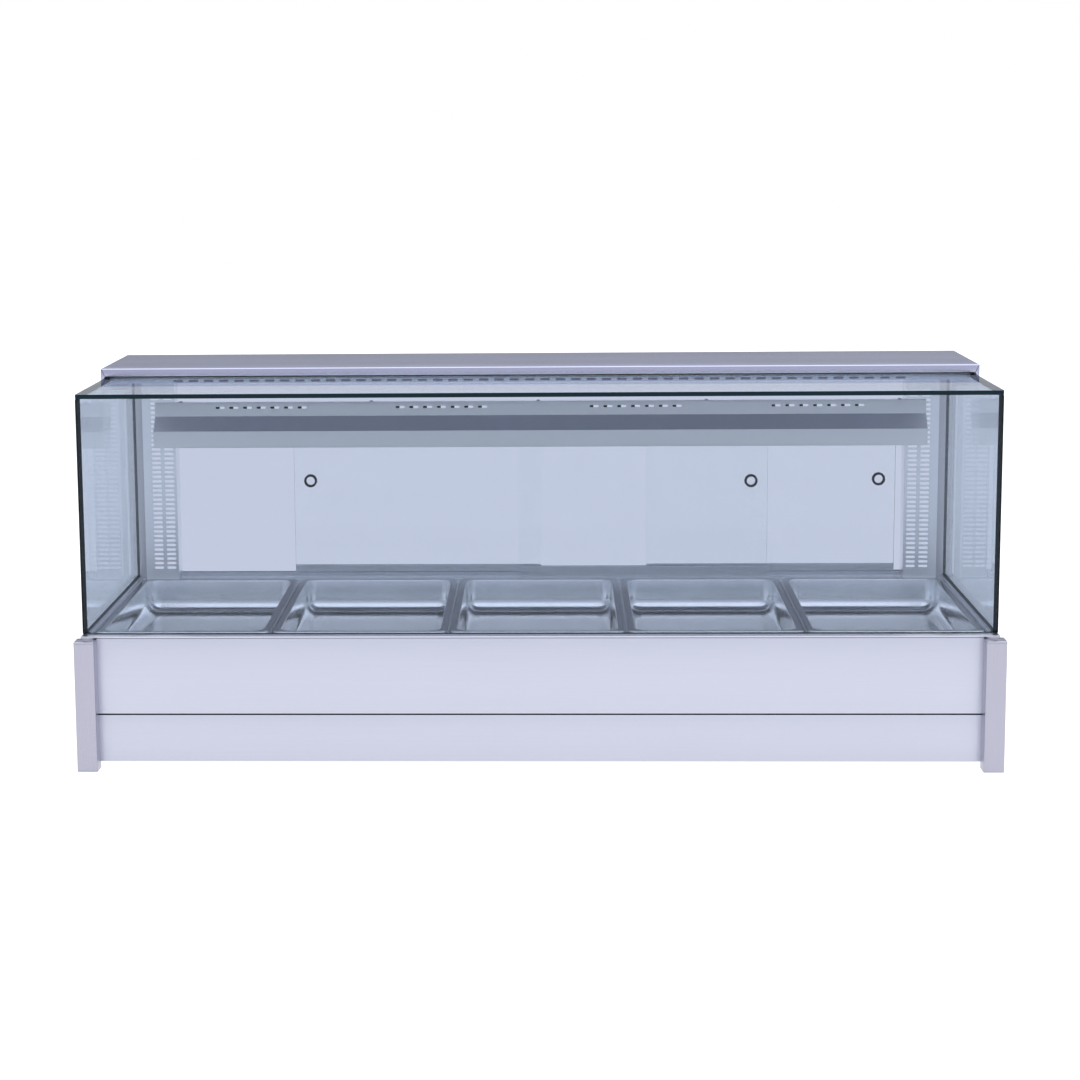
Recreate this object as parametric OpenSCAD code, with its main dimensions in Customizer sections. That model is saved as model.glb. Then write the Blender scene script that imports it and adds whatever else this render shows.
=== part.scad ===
// Hot food display case: a glazed, heated counter-top unit for five full-size pans.
// Millimetres, +Z up. Origin: middle of the footprint, on the floor.
// The guest side faces -Y, the staff side with its sliding doors faces +Y.

/* [Overall] */
// Width over the corner legs
case_w = 1712; // [1500:1:1900]
// Depth over the corner legs
case_d = 674; // [640:1:760]
// Height to the top of the canopy
case_h = 718; // [640:1:800]
// Height of the base, up to the underside of the deck sheets
base_h = 248; // [220:1:300]

/* [Legs and panels] */
// Side of the square leg tube
leg = 38; // [30:1:50]
// Wall of the leg tube
leg_wall = 1.5; // [1:0.1:3]
// Outer corner radius of the leg tube
leg_round = 3; // [1:0.5:6]
// Sheet thickness of the panels
sheet = 1.2; // [0.8:0.1:2]
// How far the panels sit inside the outer faces of the legs
panel_set = 30; // [10:1:36]
// Height of the panels' lower edge over the floor
panel_low = 12; // [5:1:40]
// Height of the seam between the two front panels
seam = 102.5; // [60:0.5:160]
// Gap at the seam
seam_gap = 1; // [0.5:0.1:3]
// Width of the folded edges on the panels
fold = 16; // [8:1:24]

/* [Deck] */
// Thickness of the deck sheets
deck_t = 3; // [2:0.5:5]
// Width over the deck
deck_w = 1696; // [1500:1:1880]
// Distance from the front of the legs to the front edge of the deck
deck_set = 28; // [10:1:36]
// Width of each side strip of the deck
deck_side = 20; // [12:1:40]

/* [Pans] */
// Number of pans
pan_count = 5; // [1:1:5]
// Pan width over the rim
pan_w = 325; // [320:1:330]
// Pan length over the rim
pan_l = 530; // [520:1:535]
// Pan depth under the rim
pan_depth = 65; // [40:1:100]
// Distance from pan to pan
pan_pitch = 332; // [328:1:340]
// Width of the flat rim
pan_rim = 12.5; // [10:0.5:16]
// Thickness of the pan sheet
pan_t = 1; // [0.6:0.1:1.5]
// Radius of the bowl's corners and of its bottom edge
pan_round = 26; // [15:1:40]
// Distance from the front of the legs to the pans
pan_set = 64; // [60:1:80]

/* [Water well] */
// Depth of the well under the deck
well_depth = 118; // [100:1:160]
// Sheet thickness of the well
well_t = 1.5; // [1:0.1:2]
// Radius of the heater rods
rod_r = 4.25; // [3:0.25:6]
// Length of each heater loop
rod_len = 430; // [300:10:500]

/* [Glass] */
// Thickness of the fixed panes
pane = 8; // [6:0.5:10]
// Width over the fixed panes
glass_w = 1695; // [1500:1:1880]
// Distance from the front of the legs to the front pane
glass_set = 50; // [40:1:60]
// Height of the top face of the top pane
glass_top = 700; // [620:1:780]

/* [Canopy] */
// Distance from the front of the legs to the canopy's front edge
canopy_set = 350; // [300:1:400]
// Canopy depth
canopy_d = 295; // [200:1:320]
// Sheet thickness of the canopy
canopy_t = 1.5; // [1:0.1:2]
// Height of the canopy's front lip
lip_h = 15; // [10:1:20]
// Height of the canopy's side skirts
skirt_h = 24; // [16:1:30]
// Depth of the slotted rail under the canopy
rail_h = 12; // [8:1:20]

/* [Rear frame] */
// Half width of the door opening
open_half = 752; // [600:1:820]
// Width of each slotted column
column_w = 58; // [50:1:70]
// Width of the strip that closes the gap between a column and its corner post
column_lap = 11; // [2:1:11]
// Side of each rear post
post = 18; // [14:1:24]
// Length of a vent slot
slot_l = 19; // [12:1:24]
// Height of a vent slot
slot_h = 5; // [3:0.5:6]
// Distance from slot to slot up the columns
slot_step = 9.6; // [8:0.1:14]
// Number of slot rows in a column
slot_rows = 39; // [10:1:42]

/* [Doors] */
// Door width
door_w = 514; // [502:1:540]
// Door glass thickness
door_t = 5; // [4:0.5:6]
// Height of the aluminium shoe under each door
shoe_h = 22; // [14:1:30]
// Height of the finger rings over the floor
ring_z = 453; // [350:1:520]
// Distance from a finger ring to its door edge
ring_in = 34; // [25:1:60]
// Left door, shifted from shut
left_shift = 241.5; // [0:0.5:243]
// Middle door, shifted from shut
mid_shift = 216; // [-490:1:490]
// Right door, shifted from shut
right_shift = -14; // [-240:1:0]

/* [Lamp hood] */
// Hood length
hood_w = 1588; // [1400:1:1620]
// Height of the hood's top edge over the floor
hood_top = 623; // [600:1:640]
// Height of the hood's upper face
hood_face = 30; // [20:1:40]
// Drop of the hood's slanted face
hood_slant = 27.5; // [15:0.5:40]
// Reach of the hood toward the guest side
hood_reach = 28; // [20:1:40]
// Height of the hood's front face
hood_front = 35.5; // [20:0.5:50]

/* [Staff-side controls] */
// Distance of the knob from the middle
knob_x = 560; // [200:10:700]
// Height of the controls over the floor
knob_z = 170; // [120:1:200]
// Knob radius
knob_r = 20; // [15:1:26]
// Distance of the drain from the middle
drain_x = 600; // [200:10:700]

/* [Hidden] */
$fn = 48;
steel = [0.74, 0.76, 0.79];
bright = [0.82, 0.83, 0.85];
clear = [0.72, 0.85, 0.86, 0.35];
dark = [0.15, 0.16, 0.18];

front = -case_d / 2;
rear = case_d / 2;
leg_in = case_w / 2 - leg;
panel_y = front + panel_set;
panel_back = rear - panel_set;
deck_z = base_h + deck_t;
deck_front = front + deck_set;
deck_back = rear - deck_set;
deck_half = deck_w / 2;
deck_in = deck_half - deck_side;
pan_y = front + pan_set;
pan_end = pan_y + pan_l;
pan_mid = pan_y + pan_l / 2;
pan_top = deck_z + 1;
well_half = pan_pitch * (pan_count - 1) / 2 + pan_w / 2 - 6.5;
well_y = pan_y + 8;
well_end = pan_end - 8;
well_top = base_h;
well_z = well_top - well_depth;
glass_half = glass_w / 2;
glass_y = front + glass_set;
glass_back = glass_y + pane;
glass_z = deck_z;
canopy_y = front + canopy_set;
canopy_end = canopy_y + canopy_d;
frame_end = canopy_end - canopy_t - 0.2;
lip_z = case_h - lip_h;
rail_y = canopy_y + 9;
column_out = open_half + column_w;
column_y = front + 603;
track_y = front + 607;
track_end = deck_back - 1;
track_gap = 20;
front_run = track_y + 8;
rear_run = front_run + track_gap;
hood_y = column_y - sheet;
hood_bend = hood_top - hood_face;
hood_turn = hood_bend - hood_slant;
hood_low = hood_turn - hood_front;
lamp_y = hood_y - hood_reach / 2 + 2;
lamp_z = hood_low + 18;
door_z = deck_z + 2;
door_top = hood_low + 62;
door_shut = open_half - door_w / 2;

// A straight block between two corners.
module slab(x, y, z) {
    translate([x[0], y[0], z[0]])
        cube([x[1] - x[0], y[1] - y[0], z[1] - z[0]]);
}

// A rectangle with round corners, centred.
module rounded(w, d, r) {
    union() {
        square([w - 2 * r, d], center = true);
        square([w, d - 2 * r], center = true);
        for (sx = [-1, 1], sy = [-1, 1])
            translate([sx * (w / 2 - r), sy * (d / 2 - r)])
                circle(r);
    }
}

// An outline in Y and Z, drawn out along X.
module along_x(x0, x1) {
    translate([x0, 0, 0])
        rotate([90, 0, 90])
            linear_extrude(x1 - x0)
                children();
}

// Copies the part to the left and right of the middle.
module both_sides() {
    children();
    mirror([1, 0, 0])
        children();
}

// Legs and their end plugs.
module leg_tube(sx, sy) {
    color(steel)
        translate([sx * (case_w - leg) / 2, sy * (case_d - leg) / 2, deck_t])
            linear_extrude(base_h - 5 - deck_t)
                difference() {
                    rounded(leg, leg, leg_round);
                    rounded(leg - 2 * leg_wall, leg - 2 * leg_wall, leg_round - leg_wall);
                }
}

module leg_plug(height, spigot) {
    union() {
        linear_extrude(height)
            rounded(leg, leg, leg_round);
        translate([0, 0, spigot > 0 ? height : spigot])
            linear_extrude(abs(spigot))
                rounded(leg - 2 * leg_wall - 0.1, leg - 2 * leg_wall - 0.1, leg_round - leg_wall);
    }
}

module leg_plugs() {
    color(steel)
        for (sx = [-1, 1], sy = [-1, 1])
            translate([sx * (case_w - leg) / 2, sy * (case_d - leg) / 2, 0]) {
                leg_plug(deck_t, 12);
                translate([0, 0, base_h - 5])
                    leg_plug(3, -12);
            }
}

// Front panels: a face with edges folded back.
module fascia(z0, z1) {
    color(steel)
        union() {
            slab([-leg_in, leg_in], [panel_y, panel_y + sheet], [z0, z1]);
            slab([-leg_in, leg_in], [panel_y, panel_y + fold], [z0, z0 + sheet]);
            slab([-leg_in, leg_in], [panel_y, panel_y + fold], [z1 - sheet, z1]);
        }
}

module fascia_upper() {
    fascia(seam + seam_gap / 2, base_h);
}

module fascia_lower() {
    fascia(panel_low, seam - seam_gap / 2);
}

module side_panel(sx) {
    x1 = case_w / 2 - panel_set;
    color(steel)
        mirror([sx < 0 ? 1 : 0, 0, 0])
            union() {
                slab([x1 - sheet, x1], [front + leg, rear - leg], [panel_low, base_h - sheet]);
                slab([leg_in, x1], [front + leg, rear - leg], [panel_low, panel_low + sheet]);
            }
}

// Staff-side panel with holes for the controls, the drain and the cable, and a row of louvres.
module rear_panel() {
    color(steel)
        difference() {
            union() {
                slab([-leg_in, leg_in], [panel_back - sheet, panel_back], [panel_low, base_h]);
                slab([-leg_in, leg_in], [panel_back - fold, panel_back], [base_h - sheet, base_h]);
            }
            translate([knob_x, rear, knob_z])
                rotate([90, 0, 0])
                    cylinder(h = 80, r = 5.2);
            for (i = [1, 2])
                slab([knob_x - 60 * i - 11, knob_x - 60 * i + 11], [panel_back - 5, rear], [knob_z - 14, knob_z + 14]);
            translate([knob_x + 70, rear, 60])
                rotate([90, 0, 0])
                    cylinder(h = 80, r = 8.2);
            translate([-drain_x, rear, 60])
                rotate([90, 0, 0])
                    cylinder(h = 80, r = 11);
            for (i = [-9:9])
                slab([30 * i - 2, 30 * i + 2], [panel_back - 5, rear], [60, 100]);
        }
}

module base_floor() {
    color(steel)
        slab([-leg_in, leg_in], [panel_y + sheet, panel_back - sheet], [panel_low + sheet, panel_low + 2 * sheet]);
}

// Deck sheets round the pans.
module front_ledge() {
    color(bright)
        slab([-deck_half, deck_half], [deck_front, pan_y - 2], [base_h, deck_z]);
}

module rear_ledge() {
    color(bright)
        slab([-deck_half, deck_half], [pan_end + 2, deck_back], [base_h, deck_z]);
}

module deck_sides() {
    color(bright)
        both_sides()
            slab([deck_in, deck_half], [pan_y - 2, pan_end + 2], [base_h, deck_z]);
}

// Bars between the pans: a narrow web standing on a foot that carries two rims.
module divider_bars() {
    color(bright)
        for (i = [1:pan_count - 1])
            translate([(i - pan_count / 2) * pan_pitch, 0, 0])
                union() {
                    slab([-2, 2], [well_y - 9, well_end + 9], [well_top, deck_z + 0.5]);
                    slab([-11, 11], [well_y, well_end], [well_top - 2.4, well_top - 0.4]);
                    slab([-2, 2], [well_y, well_end], [well_top - 8, well_top]);
                }
}

// Water well: an open tub welded from a floor, two long walls and two ends, with a flange under the rims.
module well_floor() {
    color(steel)
        difference() {
            slab([-well_half, well_half], [well_y, well_end], [well_z, well_z + well_t]);
            translate([-drain_x, pan_mid, well_z - 1])
                cylinder(h = 10, r = 9);
            for (i = [-1:1], sy = [-1, 1])
                translate([i * 500 - rod_len / 2, pan_mid + sy * 45, well_z - 1])
                    cylinder(h = 10, r = rod_r + 0.2);
        }
}

module well_walls() {
    color(steel)
        for (turn = [0, 1])
            translate([0, turn * 2 * pan_mid, 0])
                mirror([0, turn, 0])
                    union() {
                        slab([-well_half, well_half], [well_y - well_t, well_y], [well_z, well_top]);
                        slab([-well_half, well_half], [well_y - 16, well_y], [well_top - sheet, well_top]);
                    }
}

module well_ends() {
    color(steel)
        both_sides()
            union() {
                slab([well_half, well_half + well_t], [well_y - well_t, well_end + well_t], [well_z, well_top]);
                slab([well_half, deck_in + 10], [well_y - 16, well_end + 16], [well_top - sheet, well_top]);
            }
}

// Three hairpin heaters lying low in the well, their cold ends passing down through its floor.
module heater_rods() {
    rod_z = well_z + 22;
    color(dark)
        for (i = [-1:1])
            translate([i * 500 - rod_len / 2, pan_mid, 0])
                union() {
                    for (sy = [-1, 1]) {
                        translate([0, sy * 45, rod_z])
                            rotate([0, 90, 0])
                                cylinder(h = rod_len - 45, r = rod_r);
                        translate([0, sy * 45, well_z - 18])
                            cylinder(h = rod_z - well_z + 18, r = rod_r);
                        translate([0, sy * 45, rod_z])
                            sphere(rod_r);
                    }
                    translate([rod_len - 45, 0, rod_z])
                        rotate([0, 0, -90])
                            rotate_extrude(angle = 180)
                                translate([45, 0])
                                    circle(rod_r);
                }
}

// Drain: a pipe down from the well and out at the back, with a quarter-turn tap.
module drain_tap() {
    tap_y = panel_back + 13;
    color([0.78, 0.66, 0.36])
        translate([-drain_x, 0, 0])
            difference() {
                union() {
                    translate([0, pan_mid, 50])
                        cylinder(h = well_z - 50, r = 10);
                    translate([0, pan_mid, well_z - 3])
                        cylinder(h = 3, r = 20);
                    translate([0, pan_mid, 60])
                        rotate([-90, 0, 0])
                            cylinder(h = rear - pan_mid, r = 10);
                    slab([-13, 13], [tap_y - 9, tap_y + 9], [47, 73]);
                    translate([0, tap_y, 73])
                        cylinder(h = 5, r = 6);
                }
                translate([0, pan_mid, 52])
                    cylinder(h = well_z, r = 8);
                translate([0, pan_mid - 0.5, 60])
                    rotate([-90, 0, 0])
                        cylinder(h = rear - pan_mid + 1, r = 8);
            }
}

module drain_lever() {
    tap_y = panel_back + 13;
    color([0.75, 0.12, 0.1])
        translate([-drain_x, tap_y, 78.4])
            union() {
                cylinder(h = 5, r = 8);
                slab([0, 48], [-5, 5], [1, 4]);
            }
}

// Controls.
module thermostat_knob() {
    color(dark)
        translate([knob_x, panel_back, knob_z])
            rotate([-90, 0, 0])
                union() {
                    translate([0, 0, 0.8])
                        cylinder(h = 5, r = knob_r);
                    translate([0, 0, 5])
                        cylinder(h = 15, r = knob_r - 3);
                    translate([-2.5, -knob_r + 4, 19])
                        cube([5, 2 * knob_r - 8, 3]);
                    translate([0, 0, -22])
                        cylinder(h = 24, r = 4);
                }
}

module switch_frames() {
    color(dark)
        for (i = [1, 2])
            translate([knob_x - 60 * i, panel_back, knob_z])
                difference() {
                    union() {
                        slab([-14, 14], [0, 2], [-17, 17]);
                        slab([-10.8, 10.8], [-24, 1], [-13.8, 13.8]);
                    }
                    slab([-9, 9], [-14, 3], [-12, 12]);
                }
}

module rocker(i) {
    color(i == 1 ? [0.75, 0.1, 0.08] : [0.1, 0.45, 0.2])
        translate([knob_x - 60 * i, panel_back - 6, knob_z])
            rotate([-8, 0, 0])
                along_x(-8.4, 8.4)
                    polygon([[-5, -6], [7, -10.1], [10, -10.1], [8.6, 0], [10, 10.1], [7, 10.1], [-5, 6]]);
}

module power_rocker() {
    rocker(1);
}

module lamp_rocker() {
    rocker(2);
}

module cable_gland() {
    color(dark)
        translate([knob_x + 70, panel_back, 60])
            rotate([-90, 0, 0])
                difference() {
                    union() {
                        cylinder(h = 8, r = 13, $fn = 6);
                        translate([0, 0, 7])
                            cylinder(h = 15, r = 10);
                        translate([0, 0, -14])
                            cylinder(h = 15, r = 8);
                    }
                    translate([0, 0, -15])
                        cylinder(h = 38, r = 5);
                }
}

// Fixed panes.
module front_glass() {
    color(clear)
        slab([-glass_half, glass_half], [glass_y, glass_back], [glass_z, glass_top - pane]);
}

module side_glass() {
    color(clear)
        along_x(glass_half - pane, glass_half)
            polygon([
                [glass_back, glass_z],
                [canopy_end - 3, glass_z],
                [canopy_end - 3, case_h - canopy_t],
                [canopy_y + 12, case_h - canopy_t],
                [canopy_y + 12, glass_top - pane],
                [glass_back, glass_top - pane]
            ]);
}

module side_glass_left() {
    mirror([1, 0, 0])
        side_glass();
}

module side_glass_right() {
    side_glass();
}

module top_glass() {
    color(clear)
        slab([-glass_half, glass_half], [glass_y, canopy_y + 8.5], [glass_top - pane, glass_top]);
}

// Glass channels: a lip and a floor that grip each side pane.
module glass_channels() {
    edge = glass_half - pane;
    color(bright)
        both_sides()
            slab([edge - 9.5, edge - 3.5], [glass_back + 2, track_end - post - 2], [deck_z, deck_z + 4]);
}

// Rear frame.
module rear_post() {
    edge = glass_half - pane - 0.5;
    color(steel)
        translate([edge - post / 2, frame_end - post / 2, deck_z])
            linear_extrude(case_h - canopy_t - deck_z)
                difference() {
                    square(post, center = true);
                    square(post - 3, center = true);
                }
}

module rear_post_left() {
    mirror([1, 0, 0])
        rear_post();
}

module rear_post_right() {
    rear_post();
}

module vent_column() {
    mid = open_half + column_w / 2;
    color(steel)
        difference() {
            union() {
                slab([open_half, column_out + column_lap], [column_y, column_y + sheet], [deck_z, case_h - canopy_t]);
                slab([open_half, open_half + sheet], [column_y, frame_end], [deck_z + 12, case_h - canopy_t]);
                slab([column_out - sheet, column_out], [column_y, frame_end - post], [deck_z + 12, case_h - canopy_t]);
            }
            for (row = [0:slot_rows - 1], side = [-1, 1])
                translate([mid + side * 13, column_y + sheet / 2, deck_z + 24 + row * slot_step])
                    cube([slot_l, 3, slot_h], center = true);
        }
}

module vent_column_left() {
    mirror([1, 0, 0])
        vent_column();
}

module vent_column_right() {
    vent_column();
}

// Canopy: a folded shelf with a shallow lip in front and deeper skirts at the sides and back.
module canopy() {
    half = case_w / 2;
    wrap = half - glass_half - 0.5;
    color(steel)
        union() {
            slab([-half, half], [canopy_y, canopy_end], [case_h - canopy_t, case_h]);
            slab([-half, half], [canopy_y, canopy_y + canopy_t], [lip_z, case_h]);
            slab([-half, half], [canopy_end - canopy_t, canopy_end], [case_h - skirt_h, case_h]);
            both_sides()
                union() {
                    slab([half - canopy_t, half], [canopy_y, canopy_end], [case_h - skirt_h, case_h]);
                    slab([half - wrap, half], [canopy_y, canopy_end], [case_h - skirt_h, case_h - skirt_h + canopy_t]);
                    slab([half - wrap, half], [canopy_y, canopy_y + canopy_t], [case_h - skirt_h, case_h]);
                }
        }
}

module canopy_seal() {
    color(dark)
        slab([-glass_half, glass_half], [canopy_y + 2, canopy_y + 8], [glass_top, lip_z + 1]);
}

// Slotted rail hanging under the canopy behind the edge of the top pane.
module vent_rail() {
    edge = glass_half - pane - 0.5;
    rail_z = glass_top - rail_h;
    color(steel)
        difference() {
            union() {
                slab([-edge, edge], [rail_y, rail_y + sheet], [rail_z, case_h - canopy_t]);
                slab([-edge, edge], [rail_y, rail_y + fold], [case_h - canopy_t - sheet, case_h - canopy_t]);
            }
            for (i = [0:47])
                translate([(i - 23.5) * 30, rail_y + sheet / 2, rail_z + 4.5])
                    cube([slot_l, 3, 4], center = true);
        }
}

module corner_brackets() {
    edge = glass_half - pane - 0.5;
    color(steel)
        both_sides()
            union() {
                slab([edge - 35, edge], [rail_y + sheet, rail_y + sheet + 3], [glass_top - 25, case_h - 3]);
                slab([edge - 3, edge], [rail_y + sheet, rail_y + 30], [glass_top - 25, case_h - 3]);
            }
}

// Door tracks: two runs each, front and rear.
module track_lower() {
    color(bright)
        union() {
            slab([-column_out, column_out], [track_y, frame_end - post], [deck_z, deck_z + 1.5]);
            slab([-open_half, open_half], [track_y, track_end], [deck_z, deck_z + 1.5]);
            slab([-open_half, open_half], [track_y, track_y + 1.5], [deck_z, deck_z + 4]);
            slab([-open_half, open_half], [front_run + 9, front_run + 11], [deck_z, deck_z + 9]);
            slab([-open_half, open_half], [track_end - 1.5, track_end], [deck_z, deck_z + 9]);
        }
}

module track_upper() {
    z1 = door_top + 8;
    lip = 20;
    color(bright)
        union() {
            slab([-open_half, open_half], [track_y, track_end], [z1, z1 + 1.5]);
            slab([-open_half, open_half], [track_y, track_y + 1.5], [z1 - lip, z1]);
            slab([-open_half, open_half], [front_run + 9, front_run + 11], [z1 - lip, z1]);
            slab([-open_half, open_half], [track_end - 1.5, track_end], [z1 - lip, z1]);
        }
}

// Lamp hood: one folded sheet with closed ends and vent slots in its upper face.
module hood_outline() {
    polygon([
        [hood_y, hood_top],
        [hood_y, hood_bend],
        [hood_y - hood_reach, hood_turn],
        [hood_y - hood_reach, hood_low],
        [hood_y - hood_reach + 9, hood_low],
        [hood_y - hood_reach + 9, hood_low + sheet],
        [hood_y - hood_reach + sheet, hood_low + sheet],
        [hood_y - hood_reach + sheet, hood_turn - 0.5],
        [hood_y + sheet, hood_bend - 0.5],
        [hood_y + sheet, hood_top - sheet],
        [hood_y + 8, hood_top - sheet],
        [hood_y + 8, hood_top]
    ]);
}

module hood_end() {
    polygon([
        [hood_y + sheet, hood_top - sheet],
        [hood_y, hood_bend],
        [hood_y - hood_reach, hood_turn],
        [hood_y - hood_reach, hood_low],
        [hood_y + sheet, hood_low]
    ]);
}

module hood() {
    half = hood_w / 2;
    color(steel)
        difference() {
            union() {
                along_x(-open_half + 2, open_half - 2)
                    hood_outline();
                both_sides()
                    along_x(open_half - 3, half)
                        intersection() {
                            hood_outline();
                            translate([hood_y - 100, hood_low - 10])
                                square([100 + sheet, 200]);
                        }
                both_sides()
                    along_x(half - sheet, half)
                        hood_end();
            }
            for (group = [-573, -200, 200, 573], i = [-3:3])
                translate([group + i * 28.4, hood_y, hood_top - 12])
                    cube([slot_l, 8, 4.5], center = true);
        }
}

module hood_screws() {
    color(bright)
        for (x = [-740, -345, 0, 345, 740])
            translate([x, hood_y + 4, hood_top])
                difference() {
                    cylinder(h = 2, r = 4);
                    translate([0, 0, 1.5])
                        cube([5, 1, 2], center = true);
                }
}

module lamp_reflector() {
    z1 = hood_turn - 2;
    color(bright)
        union() {
            slab([-open_half, open_half], [hood_y - hood_reach + sheet, hood_y + sheet], [z1 - 1, z1]);
            slab([-open_half, open_half], [hood_y + sheet, hood_y + sheet + 1], [hood_low + 2, z1]);
        }
}

module heat_lamps() {
    color([0.9, 0.55, 0.35])
        for (i = [-1:1])
            translate([i * 500 - 225, lamp_y, lamp_z])
                rotate([0, 90, 0])
                    cylinder(h = 450, r = 5);
}

module lamp_holders() {
    color([0.92, 0.91, 0.88])
        for (i = [-1:1], s = [-1, 1])
            difference() {
                translate([i * 500 + s * 225, lamp_y, (lamp_z - 9 + hood_turn - 3) / 2])
                    cube([14, 18, hood_turn - 3 - lamp_z + 9], center = true);
                translate([i * 500 - 225, lamp_y, lamp_z])
                    rotate([0, 90, 0])
                        cylinder(h = 450, r = 5.05);
            }
}

// Sliding doors: frameless glass in an aluminium shoe, with a flush finger ring.
module door_glass(mid, run, ring_x) {
    color(clear)
        difference() {
            slab([mid - door_w / 2, mid + door_w / 2], [run - door_t / 2, run + door_t / 2], [door_z + 3, door_top]);
            translate([ring_x, run - door_t, ring_z])
                rotate([-90, 0, 0])
                    cylinder(h = 2 * door_t, r = 11.5);
        }
}

module door_shoe(mid, run) {
    color(bright)
        difference() {
            slab([mid - door_w / 2, mid + door_w / 2], [run - 4.5, run + 4.5], [door_z, door_z + shoe_h]);
            slab([mid - door_w, mid + door_w], [run - door_t / 2, run + door_t / 2], [door_z + 3, door_z + shoe_h + 1]);
        }
}

module door_ring(ring_x, run) {
    color(dark)
        translate([ring_x, run, ring_z])
            rotate([-90, 0, 0])
                difference() {
                    union() {
                        cylinder(h = door_t, r = 11.5, center = true);
                        translate([0, 0, -door_t / 2 - 1.5])
                            cylinder(h = 1.5, r = 13.5);
                        translate([0, 0, door_t / 2])
                            cylinder(h = 1.5, r = 13.5);
                    }
                    cylinder(h = 20, r = 8.8, center = true);
                }
}

left_mid = -door_shut + left_shift;
right_mid = door_shut + right_shift;
left_ring = left_mid - door_w / 2 + ring_in;
mid_ring = mid_shift + door_w / 2 - ring_in;
right_ring = right_mid + door_w / 2 - ring_in;

module door_glass_left() {
    door_glass(left_mid, rear_run, left_ring);
}

module door_shoe_left() {
    door_shoe(left_mid, rear_run);
}

module door_ring_left() {
    door_ring(left_ring, rear_run);
}

module door_glass_middle() {
    door_glass(mid_shift, front_run, mid_ring);
}

module door_shoe_middle() {
    door_shoe(mid_shift, front_run);
}

module door_ring_middle() {
    door_ring(mid_ring, front_run);
}

module door_glass_right() {
    door_glass(right_mid, rear_run, right_ring);
}

module door_shoe_right() {
    door_shoe(right_mid, rear_run);
}

module door_ring_right() {
    door_ring(right_ring, rear_run);
}

// Solid bowl with round corners and a round bottom edge, its top at z = 0.
module bowl(w, l, depth, r) {
    union() {
        translate([0, 0, r - depth])
            linear_extrude(depth - r)
                rounded(w, l, r);
        translate([0, 0, (r - depth) - r / 2])
            cube([w - 2 * r, l - 2 * r, r], center = true);
        for (s = [-1, 1]) {
            translate([s * (w / 2 - r), 0, r - depth])
                rotate([90, 0, 0])
                    cylinder(h = l - 2 * r, r = r, center = true);
            translate([0, s * (l / 2 - r), r - depth])
                rotate([0, 90, 0])
                    cylinder(h = w - 2 * r, r = r, center = true);
            for (q = [-1, 1])
                translate([s * (w / 2 - r), q * (l / 2 - r), r - depth])
                    sphere(r);
        }
    }
}

// Lift-out pan: bowl, flat rim and the rim's turned-down edge.
module pan(i) {
    w = pan_w - 2 * pan_rim;
    l = pan_l - 2 * pan_rim;
    color(bright)
        translate([(i - (pan_count + 1) / 2) * pan_pitch, pan_mid, pan_top])
            difference() {
                union() {
                    bowl(w, l, pan_depth, pan_round);
                    translate([0, 0, -pan_t])
                        linear_extrude(pan_t)
                            rounded(pan_w, pan_l, 12);
                    translate([0, 0, -3.6])
                        linear_extrude(3)
                            difference() {
                                rounded(pan_w, pan_l, 12);
                                rounded(pan_w - 2 * pan_t, pan_l - 2 * pan_t, 12 - pan_t);
                            }
                }
                translate([0, 0, 0.01])
                    bowl(w - 2 * pan_t, l - 2 * pan_t, pan_depth - pan_t, pan_round - pan_t);
            }
}

module pan_1() {
    pan(1);
}

module pan_2() {
    pan(2);
}

module pan_3() {
    pan(3);
}

module pan_4() {
    pan(4);
}

module pan_5() {
    pan(5);
}

module leg_front_left() {
    leg_tube(-1, -1);
}

module leg_front_right() {
    leg_tube(1, -1);
}

module leg_rear_left() {
    leg_tube(-1, 1);
}

module leg_rear_right() {
    leg_tube(1, 1);
}

module side_panel_left() {
    side_panel(-1);
}

module side_panel_right() {
    side_panel(1);
}

leg_front_left();
leg_front_right();
leg_rear_left();
leg_rear_right();
leg_plugs();
fascia_upper();
fascia_lower();
side_panel_left();
side_panel_right();
rear_panel();
base_floor();
front_ledge();
rear_ledge();
deck_sides();
divider_bars();
well_floor();
well_walls();
well_ends();
heater_rods();
drain_tap();
drain_lever();
thermostat_knob();
switch_frames();
power_rocker();
lamp_rocker();
cable_gland();
front_glass();
side_glass_left();
side_glass_right();
top_glass();
glass_channels();
rear_post_left();
rear_post_right();
vent_column_left();
vent_column_right();
canopy();
canopy_seal();
vent_rail();
corner_brackets();
track_lower();
track_upper();
hood();
hood_screws();
lamp_reflector();
heat_lamps();
lamp_holders();
door_glass_left();
door_shoe_left();
door_ring_left();
door_glass_middle();
door_shoe_middle();
door_ring_middle();
door_glass_right();
door_shoe_right();
door_ring_right();
pan_1();
pan_2();
pan_3();
pan_4();
pan_5();
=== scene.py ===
import math
import bmesh
import bpy
from mathutils import Matrix, Vector
from mathutils.geometry import delaunay_2d_cdt


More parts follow.
